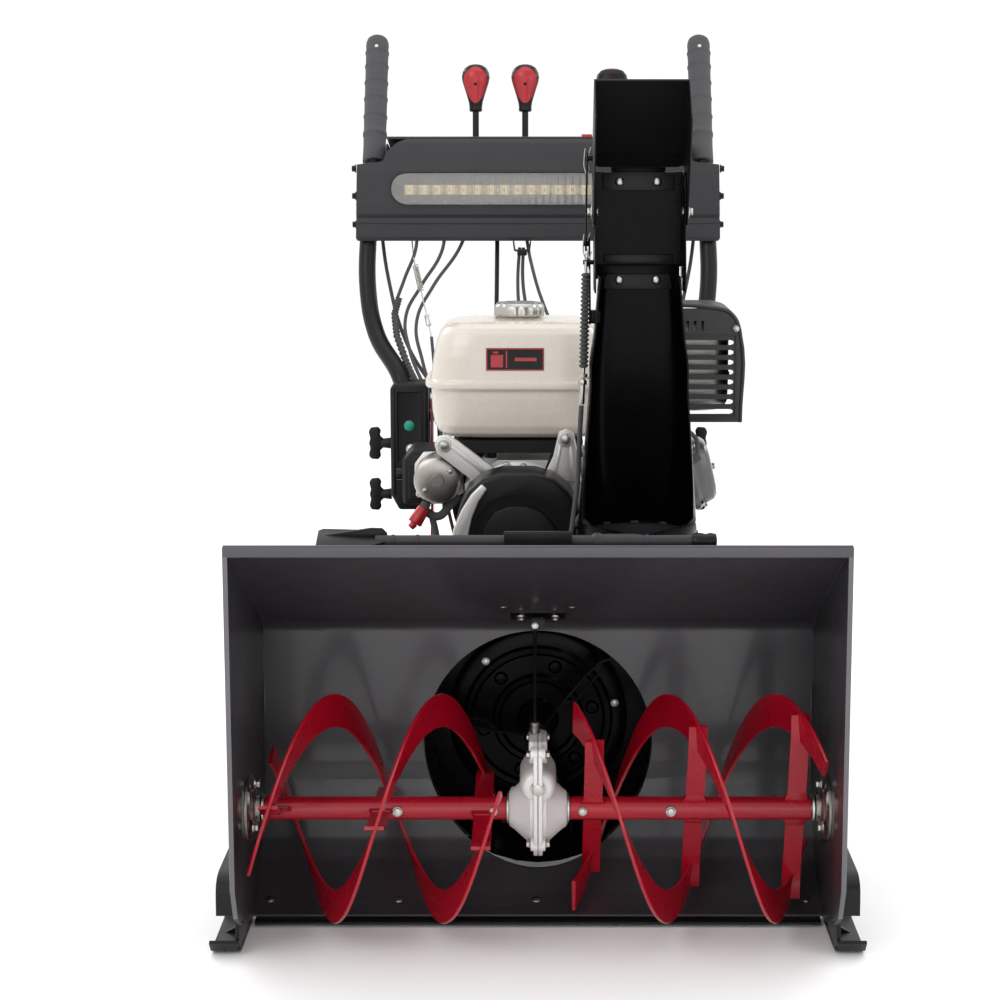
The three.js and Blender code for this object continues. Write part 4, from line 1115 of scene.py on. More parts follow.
# ------------------------------------------------------------------ engine
ENGINE_LEAN = math.degrees(-0.224)
TANK_STOPS = [
    (0, 590), (0.4, 590), (0.72, 590.6), (0.84, 593), (0.91, 599), (0.955, 610), (0.975, 628), (0.985, 648),
    (0.988, 663), (1.0, 665.6), (1.045, 666), (1.05, 668), (1.05, 673), (1.045, 675), (1.0, 675.2),
    (0.988, 678), (0.975, 692), (0.955, 712), (0.925, 730), (0.885, 745), (0.83, 754), (0.74, 759),
    (0.55, 761), (0.3, 761.4), (0, 761.4)
]


def tank_front(x, z):
    """How far forward the tank's skin is at a place."""
    for (s0, z0), (s1, z1) in zip(TANK_STOPS, TANK_STOPS[1:]):
        if z0 <= z <= z1 and z1 > z0:
            scale = s0 + (s1 - s0) * (z - z0) / (z1 - z0)
    part = min(0.999, abs((x + 27) / (134 * scale)))
    return 713 - 108 * scale * (1 - part ** 5) ** 0.2


def build_tank():
    shell = pressed(TANK_STOPS, -27, 713, 134, 108, 5, 128, 120)
    neck = turned("z", [
        (22, 760), (31, 760), (31, 763), (29, 764.2), (22, 764.2)
    ], -28, 720, 0, 48, closed=True)
    done(weld(shell, neck), "fuel_tank_shell", "cream enamel", "frame", "fuel_tank", smooth=40)
    # A plain label: a black field in a red border, with plain red blocks on it.
    patches = (
        ("red ABS", 0.4, -76, 9, 693, 726), ("smooth black ABS", 0.7, -74, 7, 695, 724),
        ("red ABS", 1.0, -69, -51, 698, 716), ("red ABS", 1.0, -66, -58, 718, 721),
        ("red ABS", 1.0, -47, -45, 697, 722), ("red ABS", 1.0, -34, -2, 707, 712)
    )
    for number, (tone, proud, x0, x1, z0, z1) in enumerate(patches):
        decal = sheet_of(16, 8, lambda u, v: mm(
            x0 + (x1 - x0) * u, tank_front(x0 + (x1 - x0) * u, z0 + (z1 - z0) * v) - proud, z0 + (z1 - z0) * v
        ), 0.2)
        done(decal, f"tank_label_{number}", tone)


def build_cap():
    stops = [
        (0, 785.2), (0.35, 785.2), (0.42, 784.2), (0.55, 784.2), (0.62, 785), (0.84, 784.6), (0.92, 783),
        (0.98, 779.4), (1, 774), (1, 767), (0.97, 764.8), (0.8, 764.7), (0, 764.7)
    ]
    lobes = lambda turn, scale: 1 - (0.05 * (0.5 + 0.5 * math.cos(8 * turn)) ** 4 if scale > 0.8 else 0)
    cap = pressed(stops, -28, 720, 38.4, 38.4, 2, 160, 48, lobes)
    neck = drum((-28, 720, 748), (-28, 720, 766), 17.6, sides=48, edge=0.6)
    done(weld(cap, neck), "fuel_cap_cover", "zinc plated steel", "fuel_cap", "fuel_cap", smooth=40)


def build_engine():
    dress("engine_block", "cast aluminium")
    fins = [block(r, r + 2.6, 636, 764, 406, 538, 0.7, 1) for r in range(84, 228, 9)]
    for fin in fins:
        reshape(fin, about((CRANK_X, 0, CRANK_Z), ENGINE_LEAN, "Y"))
    done(weld(*fins), "cylinder_fins", "cast aluminium")
    stops = [
        (0, 0), (1, 0), (1, 2), (0.985, 9), (0.93, 13.4), (0.9, 14.2), (0.87, 22), (0.82, 31), (0.72, 36),
        (0.5, 38), (0, 38.4)
    ]

    def place(u, v):
        scale, out = between(stops, v)
        y, w = square_round(2 * math.pi * u, 4)
        return mm(CRANK_X + 258.6 + out, 700 + y * 57.5 * scale, CRANK_Z + w * 55.5 * scale)
    cover = reshape(sheet_of(72, 44, place), about((CRANK_X, 0, CRANK_Z), ENGINE_LEAN, "Y"))
    done(cover, "valve_cover_pressing", "grey coated edge", "frame", "valve_cover", smooth=40)
    heads = [hex_bolt((CRANK_X + 272, 700 + y, CRANK_Z + w), "x", 5) for y in (-49, 49) for w in (-45, 45)]
    heads.append(hex_bolt((CRANK_X + 296.6, 700, CRANK_Z), "x", 5.6))
    done(reshape(weld(*heads), about((
        CRANK_X, 0, CRANK_Z
    ), ENGINE_LEAN, "Y")), "valve_cover_bolts", "zinc plated steel")
    plug = weld(
        drum((205, 640, 548), (222, 618, 556), 9, 7, sides=28, edge=0.8),
        drum((222, 618, 556), (238, 622, 566), 7, sides=28, edge=1.5),
        pipe([(236, 622, 564), (232, 634, 592), (190, 650, 606), (130, 640, 596)], 3.2)
    )
    done(plug, "spark_plug_lead", "rubber")
    front = turned("y", [
        (18, 596), (34, 597), (58, 606), (74, 610), (86, 615.6), (86, 617), (18, 617)
    ], CRANK_X, CRANK_Z, 0, 72, closed=True)
    bolts = [
        hex_bolt((CRANK_X + 78 * math.cos(t), 611, CRANK_Z + 78 * math.sin(t)), "-y", 5.6)
        for t in (0.5, 1.5, 2.6, 3.7, 4.7, 5.8)
    ]
    done(front, "crankcase_cover", "cast aluminium")
    done(weld(*bolts), "crankcase_bolts", "zinc plated steel")


def build_brackets():
    # The cast bracket is dressed black as painted shade, standing for the shadow under the tank.
    dress("tank_bracket", "satin black coat")
    arms = [
        plate("y", [
            (-152, 586), (-146, 598), (-132, 600), (-116, 590), (-66, 552), (-56, 538), (-58, 524),
            (-74, 516), (-92, 528), (-148, 572)
        ], 600, 606, 2.2, 3),
        plate("y", [
            (27, 590), (30, 604), (41, 609), (52, 604), (55, 590), (61, 560), (64, 530), (0, 530), (12, 546),
            (22, 568)
        ], 600, 606, 2.2, 3)
    ]
    ribs = [
        plate("y", [(-140, 590), (-132, 592), (-66, 540), (-72, 534)], 597, 601, 0.8),
        plate("y", [(31, 584), (35, 584), (26, 534), (20, 534)], 597, 601, 0.8),
        plate("y", [(46, 584), (50, 584), (54, 534), (49, 534)], 597, 601, 0.8)
    ]
    bosses = [
        drum((-138, 606, 585), (-138, 596, 585), 11, sides=32, edge=1),
        drum((41, 606, 594), (41, 595, 594), 12, sides=32, edge=1),
        drum((-70, 606, 531), (-70, 597, 531), 9, sides=32, edge=1),
        drum((-46, 606, 552), (-46, 596, 552), 7, sides=28, edge=1)
    ]
    bosses.append(drum((-42, 604, 548), (-42, 604, 520), 9, 7.4, sides=32, edge=1))
    done(weld(*arms, *ribs, *bosses), "tank_bracket_arms", "cast aluminium")
    heads = [
        hex_bolt((-138, 596, 585), "-y", 7), hex_bolt((41, 595, 594), "-y", 8),
        hex_bolt((-70, 597, 531), "-y", 6), hex_bolt((-46, 596, 552), "-y", 5)
    ]
    done(weld(*heads), "tank_bracket_bolts", "zinc plated steel")


def build_starter():
    can = turned("y", [
        (0, 624.4), (9, 624.4), (10, 628), (29, 628.4), (34, 631), (35.6, 635), (35.6, 676), (35.9, 678),
        (35.9, 686), (33, 690), (0, 690)
    ], -149, 527, 0, 64)
    done(can, "starter_can", "turned steel", "frame", "starter_motor")
    ears = weld(plate("y", [
        (-112, 558), (-112, 500), (-122, 494), (-176, 494), (-186, 510), (-186, 544), (-172, 562), (-124, 564)
    ], 684, 692, 2), drum((-178, 690, 500), (-178, 676, 500), 6, sides=24, edge=0.8))
    done(ears, "starter_flange", "cast aluminium")
    through = [hex_bolt((-149 + 24 * c, 628, 527 + 24 * s), "-y", 4) for c, s in ((0.8, 0.6), (-0.8, -0.6))]
    done(weld(*through), "starter_bolts", "zinc plated steel")
    boot = weld(
        drum((-170, 640, 484), (-184, 634, 462), 9.4, 11, sides=28, edge=2),
        drum((-184, 634, 462), (-190, 632, 456), 6, 5, sides=24, edge=1)
    )
    done(boot, "starter_terminal_boot", "red ABS")
    terminal = weld(
        drum((-166, 644, 492), (-172, 640, 480), 7, 8, sides=24, edge=1),
        pipe([(-172, 646, 482), (-150, 650, 470), (-132, 654, 486), (-120, 660, 500)], 6.5),
        pipe([(-160, 650, 476), (-152, 650, 440), (-146, 640, 400), (-150, 630, 330)], 5)
    )
    done(terminal, "starter_terminal", "rubber")


def build_muffler():
    body = pressed([
        (0, 626), (0.7, 626), (0.9, 629), (0.985, 640), (1, 660), (1, 676), (1.03, 678), (1.03, 682),
        (1, 684), (1, 730), (0.985, 748), (0.9, 760), (0.7, 763.6), (0, 763.6)
    ], 213, 703, 72, 44, 3.4, 72, 56)
    done(body, "muffler_shell", "heat dulled steel", "frame", "muffler", smooth=40)
    line = [
        (124.8, 614), (124.8, 764), (130, 775), (142, 781), (160, 784), (262, 784), (282, 779), (294, 766),
        (300, 746), (301, 700), (301, 614)
    ]
    wrap = folded("y", line, 644, 760, 1.8, 6, 0)
    face = plate("y", [
        (126, 613), (126, 762), (132, 772), (144, 778), (160, 781.6), (262, 781.6), (280, 777), (291, 765),
        (297, 746), (299, 700), (299, 613)
    ], 640.4, 643.4, 0.8)
    slots = []
    for i in range(8):
        z = 629 + 14.6 * i
        slots.append(plate("y", [
            (164, z - 3.6), (284, z - 3.6), (288, z - 1.8), (288, z + 1.8), (284, z + 3.6), (164, z + 3.6),
            (160, z + 1.8), (160, z - 1.8)
        ], 630, 655, 0))
    for i in range(7):
        x = 176 + 11 * i
        slots.append(plate("y", [(x - 2, 748), (x + 2, 748), (x + 2, 763), (x - 2, 763)], 630, 655, 0))
    face = carve(face, *slots)
    rim = pipe([
        (126, 642, 613), (126, 642, 760), (134, 642, 773), (160, 642, 781), (262, 642, 781), (284, 642, 773),
        (297, 642, 746), (299.4, 642, 613)
    ], 3, smooth=6)
    frame_bar = folded("y", [(154, 622), (154, 742), (292, 742), (292, 622), (154, 622)], 638.6, 641, 2, 0, 0)
    done(
        weld(wrap, face, rim, frame_bar), "muffler_guard_pressing", "black heat paint", "frame",
        "muffler_guard"
    )
    heads = [hex_bolt((x, 640.4, z), "-y", 4.6) for x, z in ((136, 625), (292, 752), (142, 770))]
    done(weld(*heads), "guard_bolts", "zinc plated steel")


def build_belt_cover():
    outer = [
        (-116, 106), (116, 106), (114, 200), (108, 330), (94, 400), (78, 450), (62, 500), (46, 530),
        (24, 549), (-4, 557), (-52, 557.4), (-80, 549), (-100, 532), (-112, 508), (-121, 470), (-124, 430),
        (-126, 330), (-118, 200)
    ]
    cover = plate("y", outer, 500.6, 586, 7, 4)
    arch = [
        (-96, 300), (74, 300), (66, 390), (50, 450), (34, 492), (14, 516), (-14, 526), (-44, 526), (-70, 516),
        (-88, 492), (-98, 440)
    ]
    deep = plate("y", arch, 495, 505, 0)
    inner = [
        (-84, 310), (62, 310), (54, 390), (38, 446), (24, 482), (6, 502), (-16, 510), (-42, 510), (-62, 502),
        (-76, 482), (-86, 438)
    ]
    raised = plate("y", inner, 500.8, 507, 2.4, 3)
    hollow = plate("y", [(x * 0.94 - 1, 340 + (z - 340) * 0.96) for x, z in outer], 506, 592, 0)
    bore = drum((0, 490, DRUM_Z), (0, 520, DRUM_Z), 15, sides=48)
    ribs = [block(-112, 104, 498.6, 503, z, z + 4, 1) for z in (258, 240, 222)]
    cover = carve(cover, deep, hollow, bore)
    crescent = plate("y", [
        (-127, 440), (-121, 478), (-109, 506), (-95, 528), (-80, 543), (-72, 536), (-84, 518), (-94, 494),
        (-100, 466), (-103, 440)
    ], 494.4, 500, 2.4, 3)
    done(crescent, "engine_casing_rim", "cast aluminium")
    done(weld(cover, raised, *ribs), "belt_cover_moulding", "smooth black ABS", "frame", "belt_cover")
    heads = [
        hex_bolt((x, 500.6, z), "-y", 6, washer=9)
        for x, z in ((-108, 440), (76, 420), (-104, 180), (100, 180))
    ]
    done(weld(*heads), "belt_cover_bolts", "zinc plated steel")
    dress("auger_belt", "rubber")


def build_rear():
    stops = [
        (0, 792.6), (1, 792.6), (1, 800), (0.995, 818), (0.97, 830), (0.9, 840), (0.8, 843.6), (0.42, 844.2),
        (0.36, 842), (0.3, 844), (0, 844.2)
    ]

    def place(u, v):
        scale, y = between(stops, v)
        turn = 2 * math.pi * u
        return mm(CRANK_X + 107.6 * scale * math.cos(turn), y, CRANK_Z + 107.6 * scale * math.sin(turn))
    shell = sheet_of(96, 50, place)
    vents = []
    for i in range(18):
        turn = 360 / 18 * i
        vents.append(reshape(block(
            CRANK_X + 44, CRANK_X + 84, 836, 852, CRANK_Z - 3, CRANK_Z + 3, 0
        ), about((CRANK_X, 0, CRANK_Z), turn, "Y")))
    shell = carve(shell, *vents)
    done(shell, "recoil_housing_moulding", "smooth black ABS", "frame", "recoil_housing", smooth=35)
    heads = [
        hex_bolt((CRANK_X + 99 * math.cos(t), 838, CRANK_Z + 99 * math.sin(t)), "y", 5)
        for t in (0.8, 2.4, 3.9, 5.5)
    ]
    done(weld(*heads), "recoil_bolts", "zinc plated steel")
    grip = turned("x", [
        (0, 8.4), (7, 8.6), (10, 12), (10.8, 20), (9, 32), (9.6, 44), (9, 56), (10.8, 68), (10, 76),
        (7, 79.6), (0, 79.8)
    ], 878, 530, 0, 32)
    rope = pipe([(44, 843, 530), (44, 872, 530)], 2.6, smooth=2)
    done(weld(grip, rope), "recoil_grip", "rubber", "recoil_handle", "recoil_handle")
    box = plate("y", [(-204, 480), (-110, 480), (-110, 564), (-190, 564), (-204, 548)], 697, 787, 5, 3)
    lid = plate("y", [(-196, 488), (-118, 488), (-118, 556), (-186, 556), (-196, 544)], 693.4, 700, 2, 3)
    ribs = [block(-206, -203, 704 + 10 * i, 708 + 10 * i, 490, 546, 0.8) for i in range(8)]
    done(weld(box, lid, *ribs), "carburettor_box", "black ABS", "frame", "carburettor_cover")
    knob = turned("x", [(0, -217), (8, -217), (9, -214), (9, -207), (0, -207)], 742, 520, 0, 24)
    done(knob, "choke_knob", "smooth black ABS")


def build_chassis():
    dress("chassis_frame", "red powder coat")
    dress("bottom_cover", "satin black coat")
    dress("axle_carrier", "zinc plated steel")
    heads = []
    for side in (-1, 1):
        face = "x" if side > 0 else "-x"
        for y, z in ((612, 140), (612, 310), (700, 130), (800, 130), (860, 140), (860, 260), (700, 322)):
            heads.append(hex_bolt((side * 140, y, z), face, 6.4, washer=9))
        for y, z in ((884, 520), (884, 590)):
            heads.append(hex_bolt((side * 165.8, y, z), "-x" if side > 0 else "x", 6.4))
    for x, z in ((-110, 150), (110, 150), (-110, 300), (110, 300), (0, 310)):
        heads.append(hex_bolt((x, 880, z), "y", 6.4, washer=9))
    done(weld(*heads), "chassis_bolts", "zinc plated steel")
    seals = []
    for side in (-1, 1):
        seals.append(turned("x", [
            (12.8, 140.2 * side), (33, 140.2 * side), (33, 142.6 * side), (24, 144.6 * side),
            (22, 148 * side), (12.8, 148 * side)
        ], 750, 200, 0, 48, closed=True))
    done(weld(*seals), "axle_bearings", "turned steel")
    ribs = [
        plate("z", [(-120, 880.2), (120, 880.2), (116, 884), (-116, 884)], z, z + 14, 1.6)
        for z in (190, 225)
    ]
    done(weld(*ribs), "chassis_swages", "red powder coat")


# ------------------------------------------------------------------ wheels
def build_wheels():
    for word, side in (("left", -1), ("right", 1)):
        body = f"wheel_{word}"
        x = 245 * side
        tread = [
            (104.6, -50), (118, -54), (150, -58.4), (172, -57), (184, -50), (189, -40), (190.6, -20),
            (191, 0), (190.6, 20), (189, 40), (184, 50), (172, 57), (150, 58.4), (118, 54), (104.6, 50)
        ]
        carcass = turned("x", tread, 750, 200, x, 96, closed=True)
        lugs = []
        # One chevron bar modelled, then copied round the tread.
        for flank in (-1, 1):
            bar = plate("z", [
                (flank * 3, -13), (flank * 3, 3), (flank * 52, 23), (flank * 52, 9)
            ], 187.5, 198.3, 1.4, 2)
            shoulder = plate("y", [
                (flank * 48, 187), (flank * 52, 190), (flank * 57, 172), (flank * 52, 168)
            ], 10, 22, 1)
            one = weld(bar, shoulder)
            one.data.transform(Matrix.Translation(mm(x, 750, 200) - mm(0, 0, 0)))
            count = 22
            for i in range(count):
                copy = twin(one)
                lugs.append(reshape(copy, about(
                    (x, 750, 200), 360 / count * (i + (0.5 if flank > 0 else 0)), "X"
                )))
            bpy.data.objects.remove(one, do_unlink=True)
        done(weld(carcass, *lugs), f"tyre_{word}_tread", "tyre rubber", body, f"tyre_{word}", smooth=35)
        out = side
        face = [
            (98.6, -52), (104, -54), (104.4, -50), (101, -47), (98, -40), (97.6, 20), (96, 26), (88, 27.4),
            (80, 20), (66, 14), (46, 16), (38, 24), (27, 30), (26, 34), (13, 34), (13, 31), (24, 28),
            (35, 21), (44, 13), (66, 11), (82, 17), (89, 24), (95, 23), (95.4, -40), (98.6, -52)
        ]
        rim = turned("x", [(r, w * out) for r, w in face[:-1]], 750, 200, x, 96, closed=True)
        lip = turned("x", [
            (98, 44 * out), (104, 52 * out), (104.4, 50 * out), (101, 44 * out), (97.4, 24 * out),
            (96, 24 * out)
        ], 750, 200, x, 96, closed=True)
        windows = [
            drum(
                (x + out * 2, 750 + 72 * math.cos(t), 200 + 72 * math.sin(t)),
                (x + out * 34, 750 + 72 * math.cos(t), 200 + 72 * math.sin(t)), 9, sides=32
            )
            for t in (0.3, 1.56, 2.8, 4.07, 5.3)
        ]
        done(
            weld(carve(rim, *windows), lip), f"rim_{word}_pressing", "grey powder coat", body,
            f"wheel_rim_{word}", smooth=35
        )
        axle = [
            drum((side * 111, 750, 200), (x + out * 40, 750, 200), 11.9, sides=40, edge=1),
            drum((x - out * 42, 750, 200), (x + out * 30, 750, 200), 25, sides=40, edge=1.5)
        ]
        axle.append(drum((x + out * 37, 750, 176), (x + out * 37, 750, 226), 3, sides=20, edge=0.6))
        done(weld(*axle), f"axle_{word}_hub", "turned steel", body)
        pin = weld(hex_bolt((x + out * 40, 750, 200), "x" if side > 0 else "-x", 8, washer=15), pipe([
            (x + out * 37, 750, 226), (x + out * 46, 752, 220), (x + out * 48, 752, 200),
            (x + out * 44, 751, 178), (x + out * 37, 750, 176)
        ], 1.5))
        done(pin, f"axle_{word}_lock_pin", "zinc plated steel", body)
        valve = drum((x + out * 20, 750 + 86, 200), (x + out * 38, 750 + 90, 200), 3.4, sides=20, edge=0.8)
        done(valve, f"tyre_{word}_valve", "rubber", body)


# ------------------------------------------------------------------ handlebars
def tube_route(s):
    """The way one handlebar tube runs from the chassis to the grip."""
    return [
        (s * 205, 872, 453), (s * 208, 884, 560), (s * 216, 902, 640), (s * 262, 968, 716),
        (s * 277, 1006, 782), (s * 277, 1040, 880), (s * 270, 1080, 986), (s * 270, 1138, 1088),
        (s * 270, 1194, 1186)
    ]


def grip_shape(s):
    foot, head = Vector((s * 270, 1080, 986)), Vector((s * 270, 1198, 1193.4))
    stops = [
        (0, 0), (15, 0), (18.6, 0.2), (19.2, 1.2), (18.6, 12), (18.8, 20), (20, 21), (20, 23), (18.8, 24.2),
        (18.6, 28)
    ]
    for a in (36, 50, 63, 76, 87):
        stops += [(18.8, a - 5), (19.1, a - 1.4), (20, a - 0.5), (20, a + 0.3), (18.7, a + 0.7)]
    stops += [(18.8, 90), (19.2, 93), (18.6, 95.4), (16.6, 97.8), (13, 99.2), (7, 100), (0, 100)]
    aim = (head - foot).to_track_quat("Z", "Y")

    def place(u, v):
        radius, share = between(stops, v)
        turn = 2 * math.pi * u
        point = foot.lerp(head, share / 100) + aim @ Vector((
            radius * math.cos(turn), radius * math.sin(turn), 0
        ))
        return mm(*point)
    return sheet_of(40, (len(stops) - 1) * 2, place)


def build_handles():
    for word, s in (("left", -1), ("right", 1)):
        tube = pipe(tube_route(s), 13.9, smooth=14, roundness=8)
        lug = plate("x", [
            (1068, 950), (1106, 950), (1117, 960), (1118, 970), (1110, 974), (1080, 968)
        ], s * 277, s * 282, 1)
        posts = [
            drum((s * 170.5, 874, 480), (s * 200, 874, 480), 8, sides=28, edge=0.6),
            drum((s * 170.5, 889, 590), (s * 204, 889, 590), 8, sides=28, edge=0.6)
        ]
        pin = drum((s * 258, 1112, 968), (s * 284, 1112, 968), 3.9, sides=24, edge=0.5)
        done(
            weld(tube, lug, pin, *posts), f"handle_tube_{word}_bar", "satin black coat", "frame",
            f"handle_tube_{word}"
        )
        done(grip_shape(s), f"grip_{word}_sleeve", "rubber", "frame", f"grip_{word}", smooth=50)
        done(dome_bolt((s * 270, 1167.4, 1178.4), "-y", 3, 2.2), f"grip_{word}_mark", "white ABS")
        line = [(0, -9), (0, 6), (-3, 30), (-4, 90), (-2, 150), (4, 186)]
        lever = folded("x", [(1112 + a, 968 + r) for a, r in line], s * 260, s * 280, 4.6, 14, 0, 5)
        eye = drum((s * 264, 1112, 968), (s * 276, 1112, 968), 8, sides=32, edge=1)
        edge = [pipe([(s * q, 1112 + a, 968 + r) for a, r in line], 2.6, smooth=8) for q in (260.8, 279.2)]
        lever = reshape(weld(lever, eye, *edge), about((0, 1112, 968), -math.degrees(0.577), "X"))
        done(lever, f"clutch_{word}_lever", "smooth black ABS", "clutch_" + word, f"clutch_lever_{word}")
        cable = pipe([
            (s * 268, 1106, 950), (s * 262, 1090, 900), (s * 246, 1040, 800), (s * 214, 980, 700),
            (s * 150, 910, 600), (s * 110, 884, 480), (s * 100, 878, 350)
        ], 3)
        done(cable, f"clutch_{word}_cable", "rubber")
        spring = coil((s * 268.6, 1107, 955), (s * 264, 1098, 922), 4.6, 0.9, 9)
        done(spring, f"clutch_{word}_spring", "zinc plated steel")


def build_bracket_covers():
    for word, s in (("left", -1), ("right", 1)):
        face = [
            (s * 172, 446), (s * 172, 640), (s * 178, 646.6), (s * 226, 646.6), (s * 232.6, 640),
            (s * 232.6, 470), (s * 220, 446)
        ]
        shell = plate("y", face, 848.4, 924, 4, 3)
        room = block(s * 175, s * 229.6, 852, 932, 430, 643, 0)
        hole = pipe([(s * 214, 899, 620), (s * 218, 906, 650), (s * 226, 918, 662)], 19, smooth=6)
        shell = carve(shell, room, hole)
        pocket = block(s * 184, s * 222, 845, 850.4, 520, 634, 3, 3)
        rib = [
            block(s * (176 + 0), s * 180, 846.6, 850, 452, 640, 1),
            block(s * 225, s * 229, 846.6, 850, 470, 640, 1)
        ]
        shell = carve(shell, pocket)
        done(
            weld(shell, *rib), f"bracket_cover_{word}_moulding", "black ABS", "frame", f"bracket_cover_{word}"
        )
        done(dome_bolt((s * 203, 850.4, 580), "-y", 8.4, 2.6), f"bracket_{word}_dot", "green ABS")
        done(dome_bolt((s * 201, 850.6, 543), "-y", 8.6, 4.4), f"bracket_{word}_bolt", "zinc plated steel")
    for word, s in (("left", -1), ("right", 1)):
        for z, body in ((548, f"wing_{word}"), (466, "frame")):
            stem = drum((s * 233.6, 884, z), (s * 250, 884, z), 9, 7, sides=32, edge=0.8)
            wing = plate("y", [
                (s * 246, z - 7), (s * 252, z - 12), (s * 250, z - 20), (s * 254, z - 26), (s * 266, z - 25),
                (s * 269.6, z - 19), (s * 267, z - 8), (s * 269, z), (s * 267, z + 8), (s * 269.6, z + 19),
                (s * 266, z + 25), (s * 254, z + 26), (s * 250, z + 20), (s * 252, z + 12), (s * 246, z + 7)
            ], 879, 889, 2.6, 3)
            if body == "frame":
                done(weld(stem, wing), f"wing_{word}_low", "black ABS")
            else:
                done(weld(stem, wing), f"wing_{word}_knob", "black ABS", body, f"wing_knob_{word}")


# ------------------------------------------------------------------ control panel
def stadium(half, radius, z, steps=14):
    """A rounded slot drawn as points."""
    points = []
    for side in (1, -1):
        for i in range(steps + 1):
            turn = (-math.pi / 2 if side > 0 else math.pi / 2) + math.pi * i / steps
            points.append((side * half + radius * math.cos(turn), z + radius * math.sin(turn)))
    return points


def panel_skin(u, v):
    """The panel's front: stepped bands that run across it, drawn in at the ends."""
    bands = [
        (0, 862, 8), (0.08, 868, 3), (0.24, 889, 1.2), (0.26, 891, 5.2), (0.34, 899, 6.4), (0.4, 905, 2.4),
        (0.46, 912, 1.6), (0.5, 918, 1.2), (0.78, 975, 1.2), (0.84, 983, 2.6), (0.9, 1004, 4.8),
        (0.95, 1019, 8), (0.98, 1026, 13), (1, 1029.4, 20)
    ]
    for (v0, z0, d0), (v1, z1, d1) in zip(bands, bands[1:]):
        if v <= v1:
            part = (v - v0) / (v1 - v0)
            z, depth = z0 + (z1 - z0) * part, d0 + (d1 - d0) * part
            break
    edge = [
        (862, 293), (866, 295.6), (985, 292.6), (989, 251), (1000, 247), (1010, 240), (1021, 226), (1031, 196)
    ]
    for (z0, w0), (z1, w1) in zip(edge, edge[1:]):
        if z0 <= z <= z1:
            half = w0 + (w1 - w0) * (z - z0) / (z1 - z0)
            break
    side = 2 * u - 1
    inward = min(1, abs(side) / 0.95)
    curl = max(0, abs(side) - 0.95) / 0.05
    return mm(math.copysign(inward * half, side), 1002 + depth + 54 * curl ** 1.5, z)


def lever_slot(x):
    """The cutter for the slot a lever moves in."""
    return plate("z", [(x - 7, 1041), (x + 7, 1041), (x + 7, 1102), (x - 7, 1102)], 990, 1045, 0)


def build_panel():
    skin = sheet_of(120, 110, panel_skin)
    modify(skin, "SOLIDIFY", thickness=0.003, offset=-1)
    edit(skin, outward)
    window = plate("y", stadium(212, 26.4, 946), 990, 1016, 0)
    skin = carve(skin, window)
    shell = folded("x", [
        (1016, 1027), (1024, 1028.6), (1070, 1019), (1114, 1010), (1120, 1004), (1121, 886)
    ], -245, 245, 3, 6, 0)
    slots = [lever_slot(x) for x in LEVERS_X]
    slots.append(block(69.4, 88.6, 1018.4, 1039.6, 1000, 1045, 0))
    shell = carve(shell, *slots)
    cheeks = [
        plate("x", [
            (1008, 866), (1008, 1012), (1024, 1018), (1112, 1006), (1119, 1000), (1120, 888), (1040, 872)
        ], s * 243, s * 246, 1)
        for s in (-1, 1)
    ]
    shelves = [block(s * 244, s * 291.6, 1006, 1057, 982, 985, 0.8) for s in (-1, 1)]
    posts = [drum((s * 244, 1046, 896), (s * 262.4, 1046, 896), 7, sides=28, edge=0.6) for s in (-1, 1)]
    rims = [folded("y", stadium(212, 27.4, 946) + stadium(212, 27.4, 946)[:1], 1000.6, 1006, 1.6, 0, 0)]
    sunk, slope = Matrix.Translation(Vector((0, 0, -0.0045))), about((0, 1024, 1026), -12.2, "X")
    frames = []
    for x in LEVERS_X:
        rim = plate("z", [(x - 13, 1038), (x + 13, 1038), (x + 13, 1108), (x - 13, 1108)], 1022.4, 1025, 1)
        frames.append(reshape(rim, sunk))
    frames = [carve(reshape(f, slope), lever_slot(x)) for f, x in zip(frames, LEVERS_X)]
    done(
        weld(skin, shell, *cheeks, *shelves, *posts, *rims, *frames), "panel_moulding", "grey ABS", "frame",
        "control_panel", smooth=35
    )
    inside = weld(
        *[block(x - 13.6, x - 11, 1050, 1074, 916, 1016, 0.6) for x in LEVERS_X],
        *[drum((x - 13, *LEVER_PIVOT), (x + 9, *LEVER_PIVOT), 3.9, sides=24, edge=0.4) for x in LEVERS_X],
        block(-240, 240, 1008, 1011, 914, 978, 1)
    )
    done(inside, "panel_brackets", "satin black coat")
    heads = []
    for s in (-1, 1):
        for z in (888, 934, 978):
            heads.append(hex_bolt((s * 295.4, 1024, z), "x" if s > 0 else "-x", 5.4, washer=7))
    done(weld(*heads), "panel_bolts", "smooth black ABS")
    hanger = weld(folded("y", [
        (-40, 861), (-38, 846), (-14, 846), (-12, 861)
    ], 1010, 1040, 2.4, 2, 0), block(-34, -18, 1012, 1024, 838, 848, 1.5))
    done(hanger, "panel_cable_bracket", "satin black coat")


def build_light():
    lens = plate("y", stadium(212, 25.4, 946, 20), 1000.4, 1004, 1.2, 3)
    ribs = [drum((x, 1004.2, 925), (x, 1004.2, 967), 0.5, sides=8) for x in range(-206, 207, 4)]
    done(weld(lens, *ribs), "light_cover", "polycarbonate", "frame", "light_lens")
    strip = block(-216, 216, 1006, 1008.4, 937, 952, 0.8)
    done(strip, "light_diodes", "diode strip")
    bowl = weld(block(-232, 232, 1007, 1009, 916, 938, 1), block(-232, 232, 1007, 1009, 951, 975, 1))
    done(bowl, "light_reflector", "grey ABS")
    chips = [block(x - 2, x + 2, 1005.4, 1006.4, 942, 947, 0.3, 1) for x in range(-209, 210, 11)]
    done(weld(*chips), "light_chips", "cream enamel")


